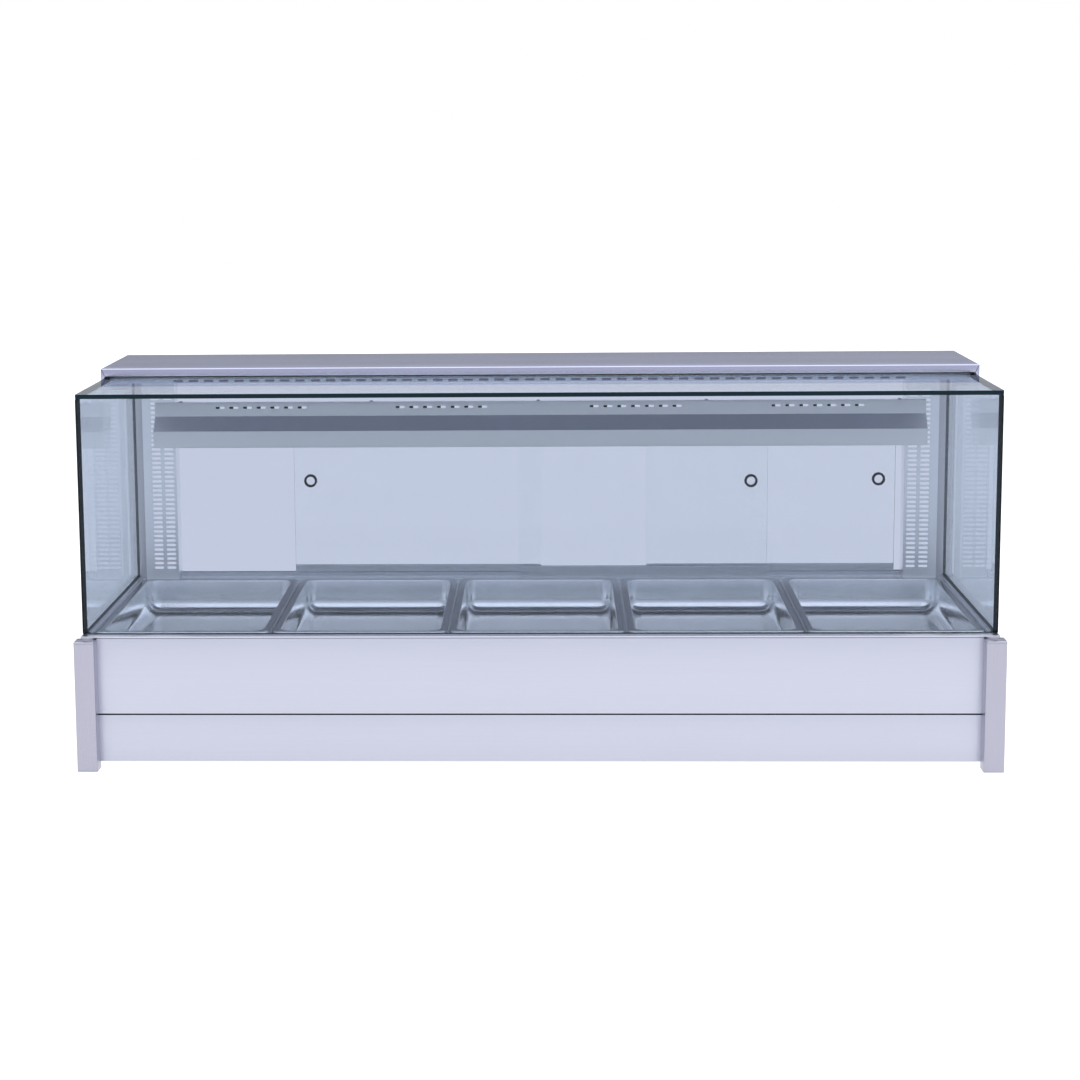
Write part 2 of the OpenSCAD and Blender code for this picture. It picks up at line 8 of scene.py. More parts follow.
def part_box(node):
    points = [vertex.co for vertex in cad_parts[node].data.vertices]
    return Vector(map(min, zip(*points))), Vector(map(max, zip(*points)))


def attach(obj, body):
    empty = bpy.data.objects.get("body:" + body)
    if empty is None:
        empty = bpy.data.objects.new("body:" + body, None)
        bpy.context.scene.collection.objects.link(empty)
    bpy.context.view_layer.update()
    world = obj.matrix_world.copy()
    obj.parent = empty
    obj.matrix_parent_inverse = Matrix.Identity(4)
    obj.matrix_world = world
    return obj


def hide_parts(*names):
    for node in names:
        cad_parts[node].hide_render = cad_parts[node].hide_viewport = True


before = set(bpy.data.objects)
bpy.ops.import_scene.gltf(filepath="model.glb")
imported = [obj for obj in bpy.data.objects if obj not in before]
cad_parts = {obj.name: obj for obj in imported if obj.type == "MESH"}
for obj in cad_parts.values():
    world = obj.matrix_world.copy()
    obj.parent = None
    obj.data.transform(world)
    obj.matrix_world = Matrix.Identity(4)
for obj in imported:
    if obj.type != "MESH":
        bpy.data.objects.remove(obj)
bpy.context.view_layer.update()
mm = 0.001
scene = bpy.context.scene
print("frame loaded")


# shader graph
class Wire:  # an output socket that can be used in arithmetic
    def __init__(self, graph, socket):
        self.graph = graph
        self.socket = socket

    def sum(self, operation, first, second):
        return self.graph.node("ShaderNodeMath", {"operation": operation}, {0: first, 1: second})

    def __add__(self, other):
        return self.sum("ADD", self, other)

    def __radd__(self, other):
        return self.sum("ADD", other, self)

    def __mul__(self, other):
        return self.sum("MULTIPLY", self, other)

    def __rmul__(self, other):
        return self.sum("MULTIPLY", other, self)

    def __pow__(self, other):
        return self.sum("POWER", self, other)


class Graph:  # the nodes of one material or of the sky
    def __init__(self, tree):
        self.tree = tree
        tree.nodes.clear()

    def node(self, kind, settings=None, sockets=None, out=0):
        made = self.tree.nodes.new(kind)
        for key, value in (settings or {}).items():
            setattr(made, key, value)
        for key, value in (sockets or {}).items():
            if isinstance(value, Wire):
                self.tree.links.new(value.socket, made.inputs[key])
            else:
                made.inputs[key].default_value = value
        return Wire(self, made.outputs[out]) if made.outputs else None

    def split(self, vector):  # its X, Y and Z
        parts = self.node("ShaderNodeSeparateXYZ", {}, {0: vector}).socket.node.outputs
        return [Wire(self, part) for part in parts]

    def mixColour(self, factor, first, second):
        return self.node("ShaderNodeMix", {"data_type": "RGBA"}, {0: factor, 6: first, 7: second}, out=2)

    def place(self, scale):  # object coordinates, stretched
        coords = self.node("ShaderNodeTexCoord", out="Object")
        return self.node("ShaderNodeMapping", {}, {"Vector": coords, "Scale": scale})

    def noise(self, scale, detail=2.0, rough=0.5, size=1.0):
        return self.node("ShaderNodeTexNoise", {}, {
            "Vector": self.place(scale), "Scale": size, "Detail": detail, "Roughness": rough})

    def ramp(self, value, low, high, first=0.0, last=1.0):
        return self.node("ShaderNodeMapRange", {"clamp": True}, {
            "Value": value, "From Min": low, "From Max": high, "To Min": first, "To Max": last})


def newFinish(name):
    material = bpy.data.materials.new(name)
    material.use_nodes = True
    return material, Graph(material.node_tree)


def opaque(graph, sockets):
    shader = graph.node("ShaderNodeBsdfPrincipled", {}, sockets)
    graph.node("ShaderNodeOutputMaterial", {}, {"Surface": shader})


grainAxes = {"x": (1, 0, 0), "y": (0, 1, 0), "z": (0, 0, 1)}


def brushed(name, colour, along="x", rough=0.3, grain=0.12, streak=0.025, depth=0.00004):
    # sheet with a satin grain that runs one way
    material, graph = newFinish(name)
    long = grainAxes[along]
    fine = graph.noise([6 if a else 1700 for a in long], 2.0, 0.6)
    coarse = graph.noise([2.5 if a else 420 for a in long], 2.0, 0.5)
    cloudy = graph.noise((3.1, 3.1, 3.1), 2.0, 0.5)
    lines = fine * 0.6 + coarse * 0.4
    tone = graph.ramp(lines + cloudy * 0.35, 0.45, 0.9)
    light = [min(1, c * (1 + streak)) for c in colour] + [1]
    shade = [c * (1 - streak) for c in colour] + [1]
    bump = graph.node("ShaderNodeBump", {}, {"Strength": grain, "Distance": depth * 10, "Height": lines})
    opaque(graph, {
        "Base Color": graph.mixColour(tone, shade, light), "Metallic": 1.0,
        "Roughness": graph.ramp(lines + cloudy * 0.4, 0.4, 1.0, rough - 0.035, rough + 0.05), "Normal": bump})
    return material


def polished(name, colour, rough=0.17, smudge=0.04, base=1.0):
    # pressed sheet with a bright face, fine swirls and wipe marks; faces that point up are darkened by base,
    # as painted shade
    material, graph = newFinish(name)
    wipe = graph.noise((9, 5, 9), 4.0, 0.62)
    swirl = graph.noise((14, 22, 14), 1.0, 0.4)
    tone = graph.ramp(wipe, 0.3, 0.7)
    light = [min(1, c * 1.02) for c in colour] + [1]
    shade = [c * 0.97 for c in colour] + [1]
    # painted shade: the colour darkens towards faces that point up, scaled by base
    upward = graph.split(graph.node("ShaderNodeNewGeometry", out="Normal"))[2]
    level = graph.ramp(upward, 0.3, 0.97)
    paintedShadeColour = [c * base for c in colour] + [1]
    bump = graph.node("ShaderNodeBump", {}, {"Strength": 0.3, "Distance": 0.0006, "Height": swirl})
    opaque(graph, {
        "Base Color": graph.mixColour(level, graph.mixColour(tone, shade, light), paintedShadeColour), "Metallic": 1.0,
        "Roughness": graph.ramp(wipe + swirl * 0.4, 0.35, 0.95, rough - smudge * 0.5, rough + smudge),
        "Normal": bump})
    return material


def moulded(name, colour, rough=0.42, pebble=0.3):
    # injection-moulded plastic or rubber with a fine pebble
    material, graph = newFinish(name)
    grainy = graph.noise((900, 900, 900), 2.0, 0.5)
    cloudy = graph.noise((30, 30, 30), 2.0, 0.5)
    tone = graph.ramp(cloudy, 0.3, 0.7)
    light = [min(1, c * 1.08 + 0.004) for c in colour] + [1]
    shade = [c * 0.9 for c in colour] + [1]
    bump = graph.node("ShaderNodeBump", {}, {"Strength": pebble, "Distance": 0.0001, "Height": grainy})
    opaque(graph, {
        "Base Color": graph.mixColour(tone, shade, light),
        "Roughness": graph.ramp(grainy * 0.5 + cloudy * 0.5, 0.3, 0.7, rough - 0.06, rough + 0.06),
        "Normal": bump})
    return material


def glazed(name, tint, shine=(0.9, 0.94, 0.96), mirror=0.035, gloss=0.96):
    # flat glass: a tint for what is seen through it, and a mirror that grows at low angles
    material, graph = newFinish(name)
    facing = graph.node("ShaderNodeLayerWeight", {}, {"Blend": 0.5}, out="Facing")
    share = facing ** 5.0 * gloss + mirror
    seen = graph.node("ShaderNodeLightPath", out="Is Camera Ray")
    tinted = graph.node("ShaderNodeBsdfTransparent", {}, {"Color": [*tint, 1]})
    clear = graph.node("ShaderNodeBsdfTransparent", {}, {"Color": (0.97, 0.985, 0.985, 1)})
    through = graph.node("ShaderNodeMixShader", {}, {0: seen, 1: clear, 2: tinted})
    film = graph.noise((6, 6, 6), 3.0, 0.6)
    hazy = [c * 0.97 for c in shine] + [1]
    face = graph.node("ShaderNodeBsdfPrincipled", {}, {
        "Base Color": graph.mixColour(film, hazy, [*shine, 1]), "Metallic": 1.0, "Roughness": 0.0})
    pane = graph.node("ShaderNodeMixShader", {}, {0: share, 1: through, 2: face})
    graph.node("ShaderNodeOutputMaterial", {}, {"Surface": pane})
    return material


def glassRim(name, colour):
    # ground and polished edge of a pane: deep green-blue with faint bands along it
    material, graph = newFinish(name)
    bands = graph.noise((2, 2, 2), 2.0, 0.5)
    tone = graph.ramp(bands, 0.35, 0.65)
    opaque(graph, {
        "Base Color": graph.mixColour(tone, [c * 0.75 for c in colour] + [1], [*colour, 1]),
        "Roughness": graph.ramp(bands, 0.3, 0.7, 0.1, 0.2), "Specular IOR Level": 0.12})
    return material


# the steel tones are one stainless steel in lit and shaded copies: each part's own brightness and blue tint
# is painted light, shade and reflected sky
tones = {
    "outerSteel": (0.495, 0.512, 0.605),
    "legSteel": (0.395, 0.395, 0.475),
    "canopySteel": (0.39, 0.405, 0.53),
    "innerSteel": (0.70, 0.73, 0.74),
    "hoodSteel": (0.90, 0.925, 0.90),
    "columnSteel": (0.93, 0.945, 0.95),
    "postSteel": (0.60, 0.61, 0.62),
    "panSteel": (0.93, 0.95, 0.955),
    "aluminium": (0.77, 0.79, 0.82),
    "reflector": (0.86, 0.87, 0.88),
    "caseGlass": (0.620, 0.650, 0.725),
    "endGlass": (0.94, 0.965, 0.97),
    "lidGlass": (0.62, 0.665, 0.75),
    "lidShine": (0.36, 0.41, 0.53),
    "clearGlass": (0.994, 1.0, 0.997),
    "lampGlass": (0.86, 0.80, 0.76),
    "paneEdge": (0.0006, 0.014, 0.023),
    "blackPlastic": (0.02, 0.022, 0.027),
    "greyPlastic": (0.022, 0.027, 0.034),
    "redPlastic": (0.55, 0.03, 0.025),
    "greenPlastic": (0.03, 0.32, 0.09),
    "sealRubber": (0.018, 0.019, 0.022),
    "ceramic": (0.80, 0.79, 0.75),
    "heaterSheath": (0.16, 0.155, 0.16),
    "filament": (0.42, 0.40, 0.38),
    "brass": (0.80, 0.60, 0.30),
}
# steel finishes per part: painted light and shade, each a lighter or darker copy of one stainless steel; the
# pans' base=0.52 also paints shade on their upward faces
sheetAlongX = brushed("brushedSteelAlongX", tones["outerSteel"], "x")
sheetAlongY = brushed("brushedSteelAlongY", tones["outerSteel"], "y")
legSteel = brushed("legSteel", tones["legSteel"], "z", 0.28)
canopySteel = brushed("canopySteel", tones["canopySteel"], "x", 0.2)
innerAlongX = brushed("innerSteelAlongX", tones["innerSteel"], "x", 0.24)
innerAlongY = brushed("innerSteelAlongY", tones["innerSteel"], "y", 0.24)
hoodSteel = brushed("hoodSteel", tones["hoodSteel"], "x", 0.52)
columnSteel = brushed("columnSteel", tones["columnSteel"], "z", 0.3)
postSteel = brushed("postSteel", tones["postSteel"], "z", 0.3)
panSteel = polished("pressedPanSteel", tones["panSteel"], base=0.52)
profileAlu = brushed("anodisedAluminium", tones["aluminium"], "x", 0.24, 0.2, 0.02)
mirrorAlu = polished("lampReflectorAluminium", tones["reflector"], 0.12, 0.04)
caseGlass = glazed("tintedCaseGlass", tones["caseGlass"], mirror=0.012)
endGlass = glazed("paleEndGlass", tones["endGlass"], mirror=0.012, gloss=0.7)
lidGlass = glazed("tintedLidGlass", tones["lidGlass"], tones["lidShine"], 0.015, 0.55)
clearGlass = glazed("clearDoorGlass", tones["clearGlass"], mirror=0.015)
paneEdge = glassRim("polishedPaneEdge", tones["paneEdge"])
blackPlastic = moulded("blackPlastic", tones["blackPlastic"])
greyPlastic = moulded("greyPlastic", tones["greyPlastic"], 0.4, 0.15)
redPlastic = moulded("redPlastic", tones["redPlastic"], 0.3, 0.1)
greenPlastic = moulded("greenPlastic", tones["greenPlastic"], 0.3, 0.1)
sealRubber = moulded("sealRubber", tones["sealRubber"], 0.6, 0.5)
whiteCeramic = moulded("whiteCeramic", tones["ceramic"], 0.45, 0.25)
lampGlass = glazed("quartzLampGlass", tones["lampGlass"], mirror=0.06)
heaterSheath = brushed("heaterSheath", tones["heaterSheath"], "x", 0.45, 0.3, 0.12)
filament = brushed("lampFilament", tones["filament"], "y", 0.4, 0.2, 0.1)
brassTap = brushed("brassTap", tones["brass"], "z", 0.25, 0.25, 0.05)
print("finishes made")


# mesh tools, all in millimetres until a piece is placed
def mmBox(node):
    low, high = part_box(node)
    return [c / mm for c in low], [c / mm for c in high]


def settle(piece):  # turns the modifiers so far into the mesh
    graph = bpy.context.evaluated_depsgraph_get()
    mesh = bpy.data.meshes.new_from_object(piece.evaluated_get(graph))
    piece.modifiers.clear()
    piece.data = mesh


def place(name, mesh, finishes, nodes=(), body="cabinet", thick=0, side=1, rim=0, bevel=0, steps=2,
          crease=38):
    mesh.normal_update()
    bmesh.ops.scale(mesh, vec=(mm, mm, mm), verts=mesh.verts)
    data = bpy.data.meshes.new(name)
    mesh.to_mesh(data)
    mesh.free()
    for finish in finishes:
        data.materials.append(finish)
    piece = bpy.data.objects.new(name, data)
    scene.collection.objects.link(piece)
    data.polygons.foreach_set("use_smooth", [True] * len(data.polygons))
    if thick:
        wall = piece.modifiers.new("wall", "SOLIDIFY")
        wall.thickness = thick * mm
        wall.offset = -side
        wall.use_even_offset = True
        wall.material_offset_rim = rim
        settle(piece)
        piece.data.name = name
    if bevel:
        edge = piece.modifiers.new("edge", "BEVEL")
        edge.width = bevel * mm
        edge.segments = steps
        edge.limit_method = "ANGLE"
        edge.angle_limit = math.radians(crease)
        edge.harden_normals = True
        if rim:
            edge.material = rim
    else:
        piece.data.set_sharp_from_angle(angle=math.radians(crease))
    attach(piece, body)
    if nodes:
        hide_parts(*nodes)
    return piece


def ringLoop(x, y, halfX, halfY, radius, z, perCorner=6):
    # a level rounded rectangle
    radius = max(0.01, min(radius, halfX - 0.01, halfY - 0.01))
    loop = []
    for k, (sx, sy) in enumerate([(1, 1), (-1, 1), (-1, -1), (1, -1)]):
        for step in range(perCorner + 1):
            angle = math.radians(90 * (k + step / perCorner))
            loop.append((
                x + sx * (halfX - radius) + radius * math.cos(angle),
                y + sy * (halfY - radius) + radius * math.sin(angle), z))
    return loop


def loft(mesh, loops, closeStart=True, closeEnd=True, wrap=False, finish=0):
    rings = [[mesh.verts.new(p) for p in loop] for loop in loops]
    pairs = list(zip(rings, rings[1:]))
    if wrap:
        pairs.append((rings[-1], rings[0]))
    made = []
    for low, high in pairs:
        for i in range(len(low)):
            j = (i + 1) % len(low)
            made.append(mesh.faces.new((low[i], low[j], high[j], high[i])))
    if closeStart and not wrap:
        made.append(mesh.faces.new(list(reversed(rings[0]))))
    if closeEnd and not wrap:
        made.append(mesh.faces.new(rings[-1]))
    for face in made:
        face.material_index = finish
    return made


def lathe(mesh, profile, origin, axis, sides=40, finish=0, wrap=False):
    # profile: (radius, distance along the axis) from one end to the other
    turn = Vector((0, 0, 1)).rotation_difference(Vector(axis)).to_matrix()
    loops = []
    for radius, along in profile:
        loop = []
        for k in range(sides):
            angle = 2 * math.pi * k / sides
            spot = Vector((max(radius, 0.01) * math.cos(angle), max(radius, 0.01) * math.sin(angle), along))
            loop.append(Vector(origin) + turn @ spot)
        loops.append(loop)
    return loft(mesh, loops, wrap=wrap, finish=finish)


def tube(mesh, points, radius, sides=14, finish=0):
    points = [Vector(p) for p in points]
    loops = []
    side = None
    for k, spot in enumerate(points):
        ahead = points[min(k + 1, len(points) - 1)] - points[max(k - 1, 0)]
        ahead.normalize()
        if side is None:
            side = ahead.orthogonal().normalized()
        side = (side - ahead * side.dot(ahead)).normalized()
        other = ahead.cross(side)
        loops.append([
            spot + radius * (side * math.cos(a) + other * math.sin(a))
            for a in (2 * math.pi * i / sides for i in range(sides))])
    return loft(mesh, loops, finish=finish)


def block(mesh, low, high, radius=1.0, soft=0.8, finish=0, steps=3):
    # a bar with round upright corners and softened ends
    x, y = (low[0] + high[0]) / 2, (low[1] + high[1]) / 2
    halfX, halfY = (high[0] - low[0]) / 2, (high[1] - low[1]) / 2
    loops = []
    for end, away in ((low[2], 1), (high[2], -1)):
        turns = range(steps + 1) if away > 0 else range(steps, -1, -1)
        for k in turns:
            angle = math.pi / 2 * k / steps
            inset = soft * (1 - math.sin(angle))
            rise = away * soft * (1 - math.cos(angle))
            loops.append(ringLoop(x, y, halfX - inset, halfY - inset, max(radius - inset, 0.05), end + rise,
                                  5))
    return loft(mesh, loops, finish=finish)


def prism(mesh, outline, start, end, along="x", finish=0):
    # a closed outline drawn out along one axis
    def spot(u, a, b):
        return {"x": (u, a, b), "y": (a, u, b), "z": (a, b, u)}[along]
    loops = [[spot(start, a, b) for a, b in outline], [spot(end, a, b) for a, b in outline]]
    made = loft(mesh, loops, finish=finish)
    bmesh.ops.recalc_face_normals(mesh, faces=made)
    return made


def within(point, loop):
    odd = False
    for (ax, ay), (bx, by) in zip(loop, loop[1:] + loop[:1]):
        if (ay > point[1]) != (by > point[1]) and point[0] < (bx - ax) * (point[1] - ay) / (by - ay) + ax:
            odd = not odd
    return odd


def circle(u, v, radius, sides):
    angles = [2 * math.pi * k / sides for k in range(sides)]
    return [(u + radius * math.cos(a), v + radius * math.sin(a)) for a in angles]


def slotHole(u, v, length, height, radius=None, steps=4):
    return [(x, y) for x, y, z in ringLoop(u, v, length / 2, height / 2, radius or height / 2, 0, steps)]


def develop(path, bend, steps=4):
    # stations along a folded sheet, with round bends
    path = [Vector(p) for p in path]
    stations = [path[0]]
    for before, corner, after in zip(path, path[1:], path[2:]):
        back, ahead = (before - corner).normalized(), (after - corner).normalized()
        half = back.angle(ahead) / 2
        reach = bend / math.tan(half)
        centre = corner + (back + ahead).normalized() * bend / math.sin(half)
        first, last = corner + back * reach - centre, corner + ahead * reach - centre
        stations.extend(centre + first.slerp(last, k / steps) for k in range(steps + 1))
    stations.append(path[-1])
    return stations


def sheetSurface(path, start, end, along="x", bend=1.6, holes=(), bendSteps=4):
    # a folded sheet; a hole is a function that is given runOf, the distance of a point along the sheet
    stations = develop(path, bend, bendSteps)
    runs = [0.0]
    for a, b in zip(stations, stations[1:]):
        runs.append(runs[-1] + (b - a).length)

    def runOf(a, b):
        best = None
        for k, (p, q) in enumerate(zip(stations, stations[1:])):
            share = max(0, min(1, (Vector((a, b)) - p).dot(q - p) / (q - p).length_squared))
            gap = (p.lerp(q, share) - Vector((a, b))).length
            if best is None or gap < best[0]:
                best = (gap, runs[k] + share * (q - p).length)
        return best[1]

    def spot(u, v):
        k = 0
        while k < len(runs) - 2 and v > runs[k + 1] + 1e-6:
            k += 1
        p = stations[k].lerp(stations[k + 1], (v - runs[k]) / (runs[k + 1] - runs[k]))
        return {"x": (u, p[0], p[1]), "y": (p[0], u, p[1]), "z": (p[0], p[1], u)}[along]

    mesh = bmesh.new()
    if not holes:
        lows = [mesh.verts.new(spot(start, v)) for v in runs]
        highs = [mesh.verts.new(spot(end, v)) for v in runs]
        for k in range(len(runs) - 1):
            mesh.faces.new((lows[k], highs[k], highs[k + 1], lows[k + 1]))
        return mesh
    loops = [hole(runOf) for hole in holes]
    outline = [(start, v) for v in runs] + [(end, v) for v in reversed(runs)]
    fillFlat(mesh, outline, loops, spot, [((start, v), (end, v)) for v in runs[1:-1]])
    return mesh


def fillFlat(mesh, outline, holes, spot, creases=()):
    # triangles of a flat pattern, each corner put in place by spot(u, v)
    points, edges = [], []
    for loop in [outline, *holes]:
        base = len(points)
        points.extend(Vector(p) for p in loop)
        edges.extend((base + i, base + (i + 1) % len(loop)) for i in range(len(loop)))
    for a, b in creases:
        edges.append((len(points), len(points) + 1))
        points.extend((Vector(a), Vector(b)))
    spots, _, corners, *_ = delaunay_2d_cdt(points, edges, [], 0, 1e-4)
    boxes = [(min(p[0] for p in h), max(p[0] for p in h), min(p[1] for p in h),
              max(p[1] for p in h)) for h in holes]
    verts = [None] * len(spots)
    for corner in corners:
        middle = sum((spots[i] for i in corner), Vector((0, 0))) / len(corner)
        if not within(middle, outline):
            continue
        if any(b[0] < middle[0] < b[1] and b[2] < middle[1] < b[3] and within(middle, h)
               for b, h in zip(boxes, holes)):
            continue
        for i in corner:
            if verts[i] is None:
                verts[i] = mesh.verts.new(spot(*spots[i]))
        mesh.faces.new([verts[i] for i in corner])
    return mesh


def middle(box, axis):
    return (box[0][axis] + box[1][axis]) / 2


def crossSection(low, high):  # of a bar that runs along X or is cut to length along it
    return [(low[1], low[2]), (high[1], low[2]), (high[1], high[2]), (low[1], high[2])]


def camel(node):
    first, *rest = node.split("_")
    return first + "".join(word.capitalize() for word in rest)


def bar(node, finish, bevel=0.7, body="cabinet", steps=3):
    # a plain bar or thick sheet with rounded edges, as large as its node
    low, high = mmBox(node)
    mesh = bmesh.new()
    prism(mesh, crossSection(low, high), low[0], high[0])
    return place(camel(node), mesh, [finish], [node], body, bevel=bevel, steps=steps)


# legs
legLook = {"round": 3.0, "wall": 1.5, "innerRound": 1.6, "capSoft": 0.9, "capHeight": 3.0}
caps = bmesh.new()
for node in ("leg_front_left", "leg_front_right", "leg_rear_left", "leg_rear_right"):
    low, high = mmBox(node)
    x, y, half = (low[0] + high[0]) / 2, (low[1] + high[1]) / 2, (high[0] - low[0]) / 2
    inner = half - legLook["wall"]
    tubeMesh = bmesh.new()
    loft(tubeMesh, [
        ringLoop(x, y, half, half, legLook["round"], low[2]),
        ringLoop(x, y, half, half, legLook["round"], high[2]),
        ringLoop(x, y, inner, inner, legLook["innerRound"], high[2]),
        ringLoop(x, y, inner, inner, legLook["innerRound"], low[2])], wrap=True)
    place(camel(node), tubeMesh, [legSteel], [node])
    for z in (low[2] - legLook["capHeight"], high[2]):
        block(caps, (x - half, y - half, z), (x + half, y + half, z + legLook["capHeight"]),
              legLook["round"], legLook["capSoft"])
place("legCaps", caps, [legSteel], ["leg_plugs"])
print("legs made")

# panels
panelLook = {"wall": 1.2, "bend": 1.8, "edge": 0.25}
for node in ("fascia_upper", "fascia_lower"):
    low, high = mmBox(node)
    mesh = sheetSurface([(high[1], low[2]), (low[1], low[2]), (low[1], high[2]), (high[1], high[2])],
                        low[0], high[0], "x", panelLook["bend"])
    place(camel(node), mesh, [sheetAlongX], [node], thick=panelLook["wall"],
          bevel=panelLook["edge"])
for node, way in (("side_panel_left", -1), ("side_panel_right", 1)):
    low, high = mmBox(node)
    outer, inner = (high[0], low[0]) if way > 0 else (low[0], high[0])
    mesh = sheetSurface([(inner, low[2]), (outer, low[2]), (outer, high[2])],
                        low[1], high[1], "y", panelLook["bend"])
    place(camel(node), mesh, [sheetAlongY], [node],
          thick=panelLook["wall"], side=-way, bevel=panelLook["edge"])

knobBox, glandBox, tapBox = mmBox("thermostat_knob"), mmBox("cable_gland"), mmBox("drain_tap")
rockerBoxes = [mmBox("power_rocker"), mmBox("lamp_rocker")]
knobX, knobZ = middle(knobBox, 0), middle(knobBox, 2)
glandX, glandZ = middle(glandBox, 0), middle(glandBox, 2)
tapX = middle(tapBox, 0)
pipeZ = 60.0  # axis of the drain pipe where it leaves the case
rearLook = {"louvres": 19, "louvrePitch": 30.0, "louvreWidth": 4.0, "louvreLow": 60.0, "louvreHigh": 100.0,
            "knobHole": 5.2, "glandHole": 8.2, "drainHole": 11.0, "rockerHole": (22.0, 28.0, 1.5),
            "screwInset": 14.0, "screwHead": 4.0, "sideScrews": (0.09, 0.5, 0.91),
            "topScrews": (-560.0, -280.0, 0.0, 280.0, 740.0), "topInset": 9.0}
low, high = mmBox("rear_panel")
rearFace = high[1]


def roundHole(x, z, radius, sides=32):
    def cut(runOf):
        return circle(x, runOf(rearFace, z), radius, sides)
    return cut


def squareHole(x, z, width, height, radius):
    return lambda runOf: slotHole(x, runOf(rearFace, z), width, height, radius)


holes = [roundHole(knobX, knobZ, rearLook["knobHole"]), roundHole(glandX, glandZ, rearLook["glandHole"]),
         roundHole(tapX, pipeZ, rearLook["drainHole"])]
holes += [squareHole(middle(b, 0), knobZ, *rearLook["rockerHole"]) for b in rockerBoxes]
louvreZ = (rearLook["louvreLow"] + rearLook["louvreHigh"]) / 2
louvreX = [(i - rearLook["louvres"] // 2) * rearLook["louvrePitch"] for i in range(rearLook["louvres"])]
holes += [squareHole(x, louvreZ, rearLook["louvreWidth"], rearLook["louvreHigh"] - rearLook["louvreLow"],
                     rearLook["louvreWidth"] / 2) for x in louvreX]
mesh = sheetSurface([(high[1], low[2]), (high[1], high[2]), (low[1], high[2])],
                    low[0], high[0], "x", panelLook["bend"], holes)
place("rearPanel", mesh, [sheetAlongX], ["rear_panel"], thick=panelLook["wall"], side=-1)


def screwHead(mesh, origin, axis, radius=4.0, height=2.0):
    # a pan head with a cross recess
    lathe(mesh, [(radius, 0), (radius, height * 0.25), (radius * 0.92, height * 0.6),
                 (radius * 0.7, height * 0.88),
                 (radius * 0.45, height), (radius * 0.36, height), (radius * 0.2, height * 0.45),
                 (0.02, height * 0.4)], origin, axis, 20)


rearScrews = bmesh.new()
for x in (low[0] + rearLook["screwInset"], high[0] - rearLook["screwInset"]):
    for share in rearLook["sideScrews"]:
        screwHead(rearScrews, (x, rearFace, low[2] + share * (high[2] - low[2])), (0, 1, 0),
                  rearLook["screwHead"])
for x in rearLook["topScrews"]:
    screwHead(rearScrews, (x, rearFace, high[2] - rearLook["topInset"]), (0, 1, 0), rearLook["screwHead"])
place("rearPanelScrews", rearScrews, [profileAlu])
bar("base_floor", sheetAlongX, 0.3)
print("panels made")

# deck
deckLook = {"side": 20.0}
bar("front_ledge", sheetAlongX, 0.9)
bar("rear_ledge", innerAlongX, 0.9)
low, high = mmBox("deck_sides")
mesh = bmesh.new()
for way in (-1, 1):
    near, far = sorted((way * high[0], way * (high[0] - deckLook["side"])))
    prism(mesh, crossSection(low, high), near, far)
place("deckSides", mesh, [innerAlongY], ["deck_sides"], bevel=0.5)
dividerLook = {"web": 2.0, "foot": 11.0, "footLow": 2.4, "footHigh": 0.4, "tail": 8.0, "soft": 0.6}
panBoxes = [mmBox("pan_%d" % i) for i in range(1, 6)]
low, high = mmBox("divider_bars")
deckUnder = mmBox("front_ledge")[0][2]
mesh = bmesh.new()
for a, b in zip(panBoxes, panBoxes[1:]):
    x = (a[1][0] + b[0][0]) / 2
    web, foot = dividerLook["web"], dividerLook["foot"]
    top, footHigh, footLow = high[2], deckUnder - dividerLook["footHigh"], deckUnder - dividerLook["footLow"]
    prism(mesh, [(x - web, deckUnder - dividerLook["tail"]), (x + web, deckUnder - dividerLook["tail"]),
                 (x + web, footLow), (x + foot, footLow), (x + foot, footHigh), (x + web, footHigh),
                 (x + web, top), (x - web, top), (x - web, footHigh), (x - foot, footHigh),
                 (x - foot, footLow), (x - web, footLow)], low[1], high[1], "y")
place("dividerBars", mesh, [innerAlongY], ["divider_bars"], bevel=dividerLook["soft"])
print("deck made")

# pans
panLook = {"rim": 12.5, "outerRound": 12.0, "corner": 27.0, "lip": 3.6, "wall": 0.9, "taper": 1.6,
           "fillet": 25.0, "edge": 2.2, "depth": 65.0, "perCorner": 10, "filletSteps": 9}


def makePan(index):
    node = "pan_%d" % index
    low, high = mmBox(node)
    x, y, top = (low[0] + high[0]) / 2, (low[1] + high[1]) / 2, high[2]
    halfX, halfY = (high[0] - low[0]) / 2, (high[1] - low[1]) / 2
    rows = [(0, -panLook["lip"], panLook["outerRound"]), (0, -1.6, panLook["outerRound"]),
            (0.45, -0.55, panLook["outerRound"] - 0.45), (1.5, 0, panLook["outerRound"] - 1.5)]
    edge, rim, corner = panLook["edge"], panLook["rim"], panLook["corner"]
    for k in range(5):
        angle = math.pi / 2 * k / 4
        rows.append((rim - edge + edge * math.sin(angle), -edge * (1 - math.cos(angle)),
                     corner + edge * (1 - math.sin(angle))))
    fillet, steps = panLook["fillet"], panLook["filletSteps"]
    start = rim + panLook["taper"]
    for k in range(steps + 1):
        angle = math.pi / 2 * k / steps
        inset = fillet * (1 - math.cos(angle))
        rows.append((start + inset, -panLook["depth"] + fillet - fillet * math.sin(angle),
                     max(corner - panLook["taper"] - inset, 1.2)))
    mesh = bmesh.new()
    loops = [ringLoop(x, y, halfX - inset, halfY - inset, radius, top + z, panLook["perCorner"])
             for inset, z, radius in rows]
    loft(mesh, loops, closeStart=False)
    return place(camel(node), mesh, [panSteel], [node], node,
                 thick=panLook["wall"], crease=50)


for i in range(1, 6):
    makePan(i)
print("pans made")

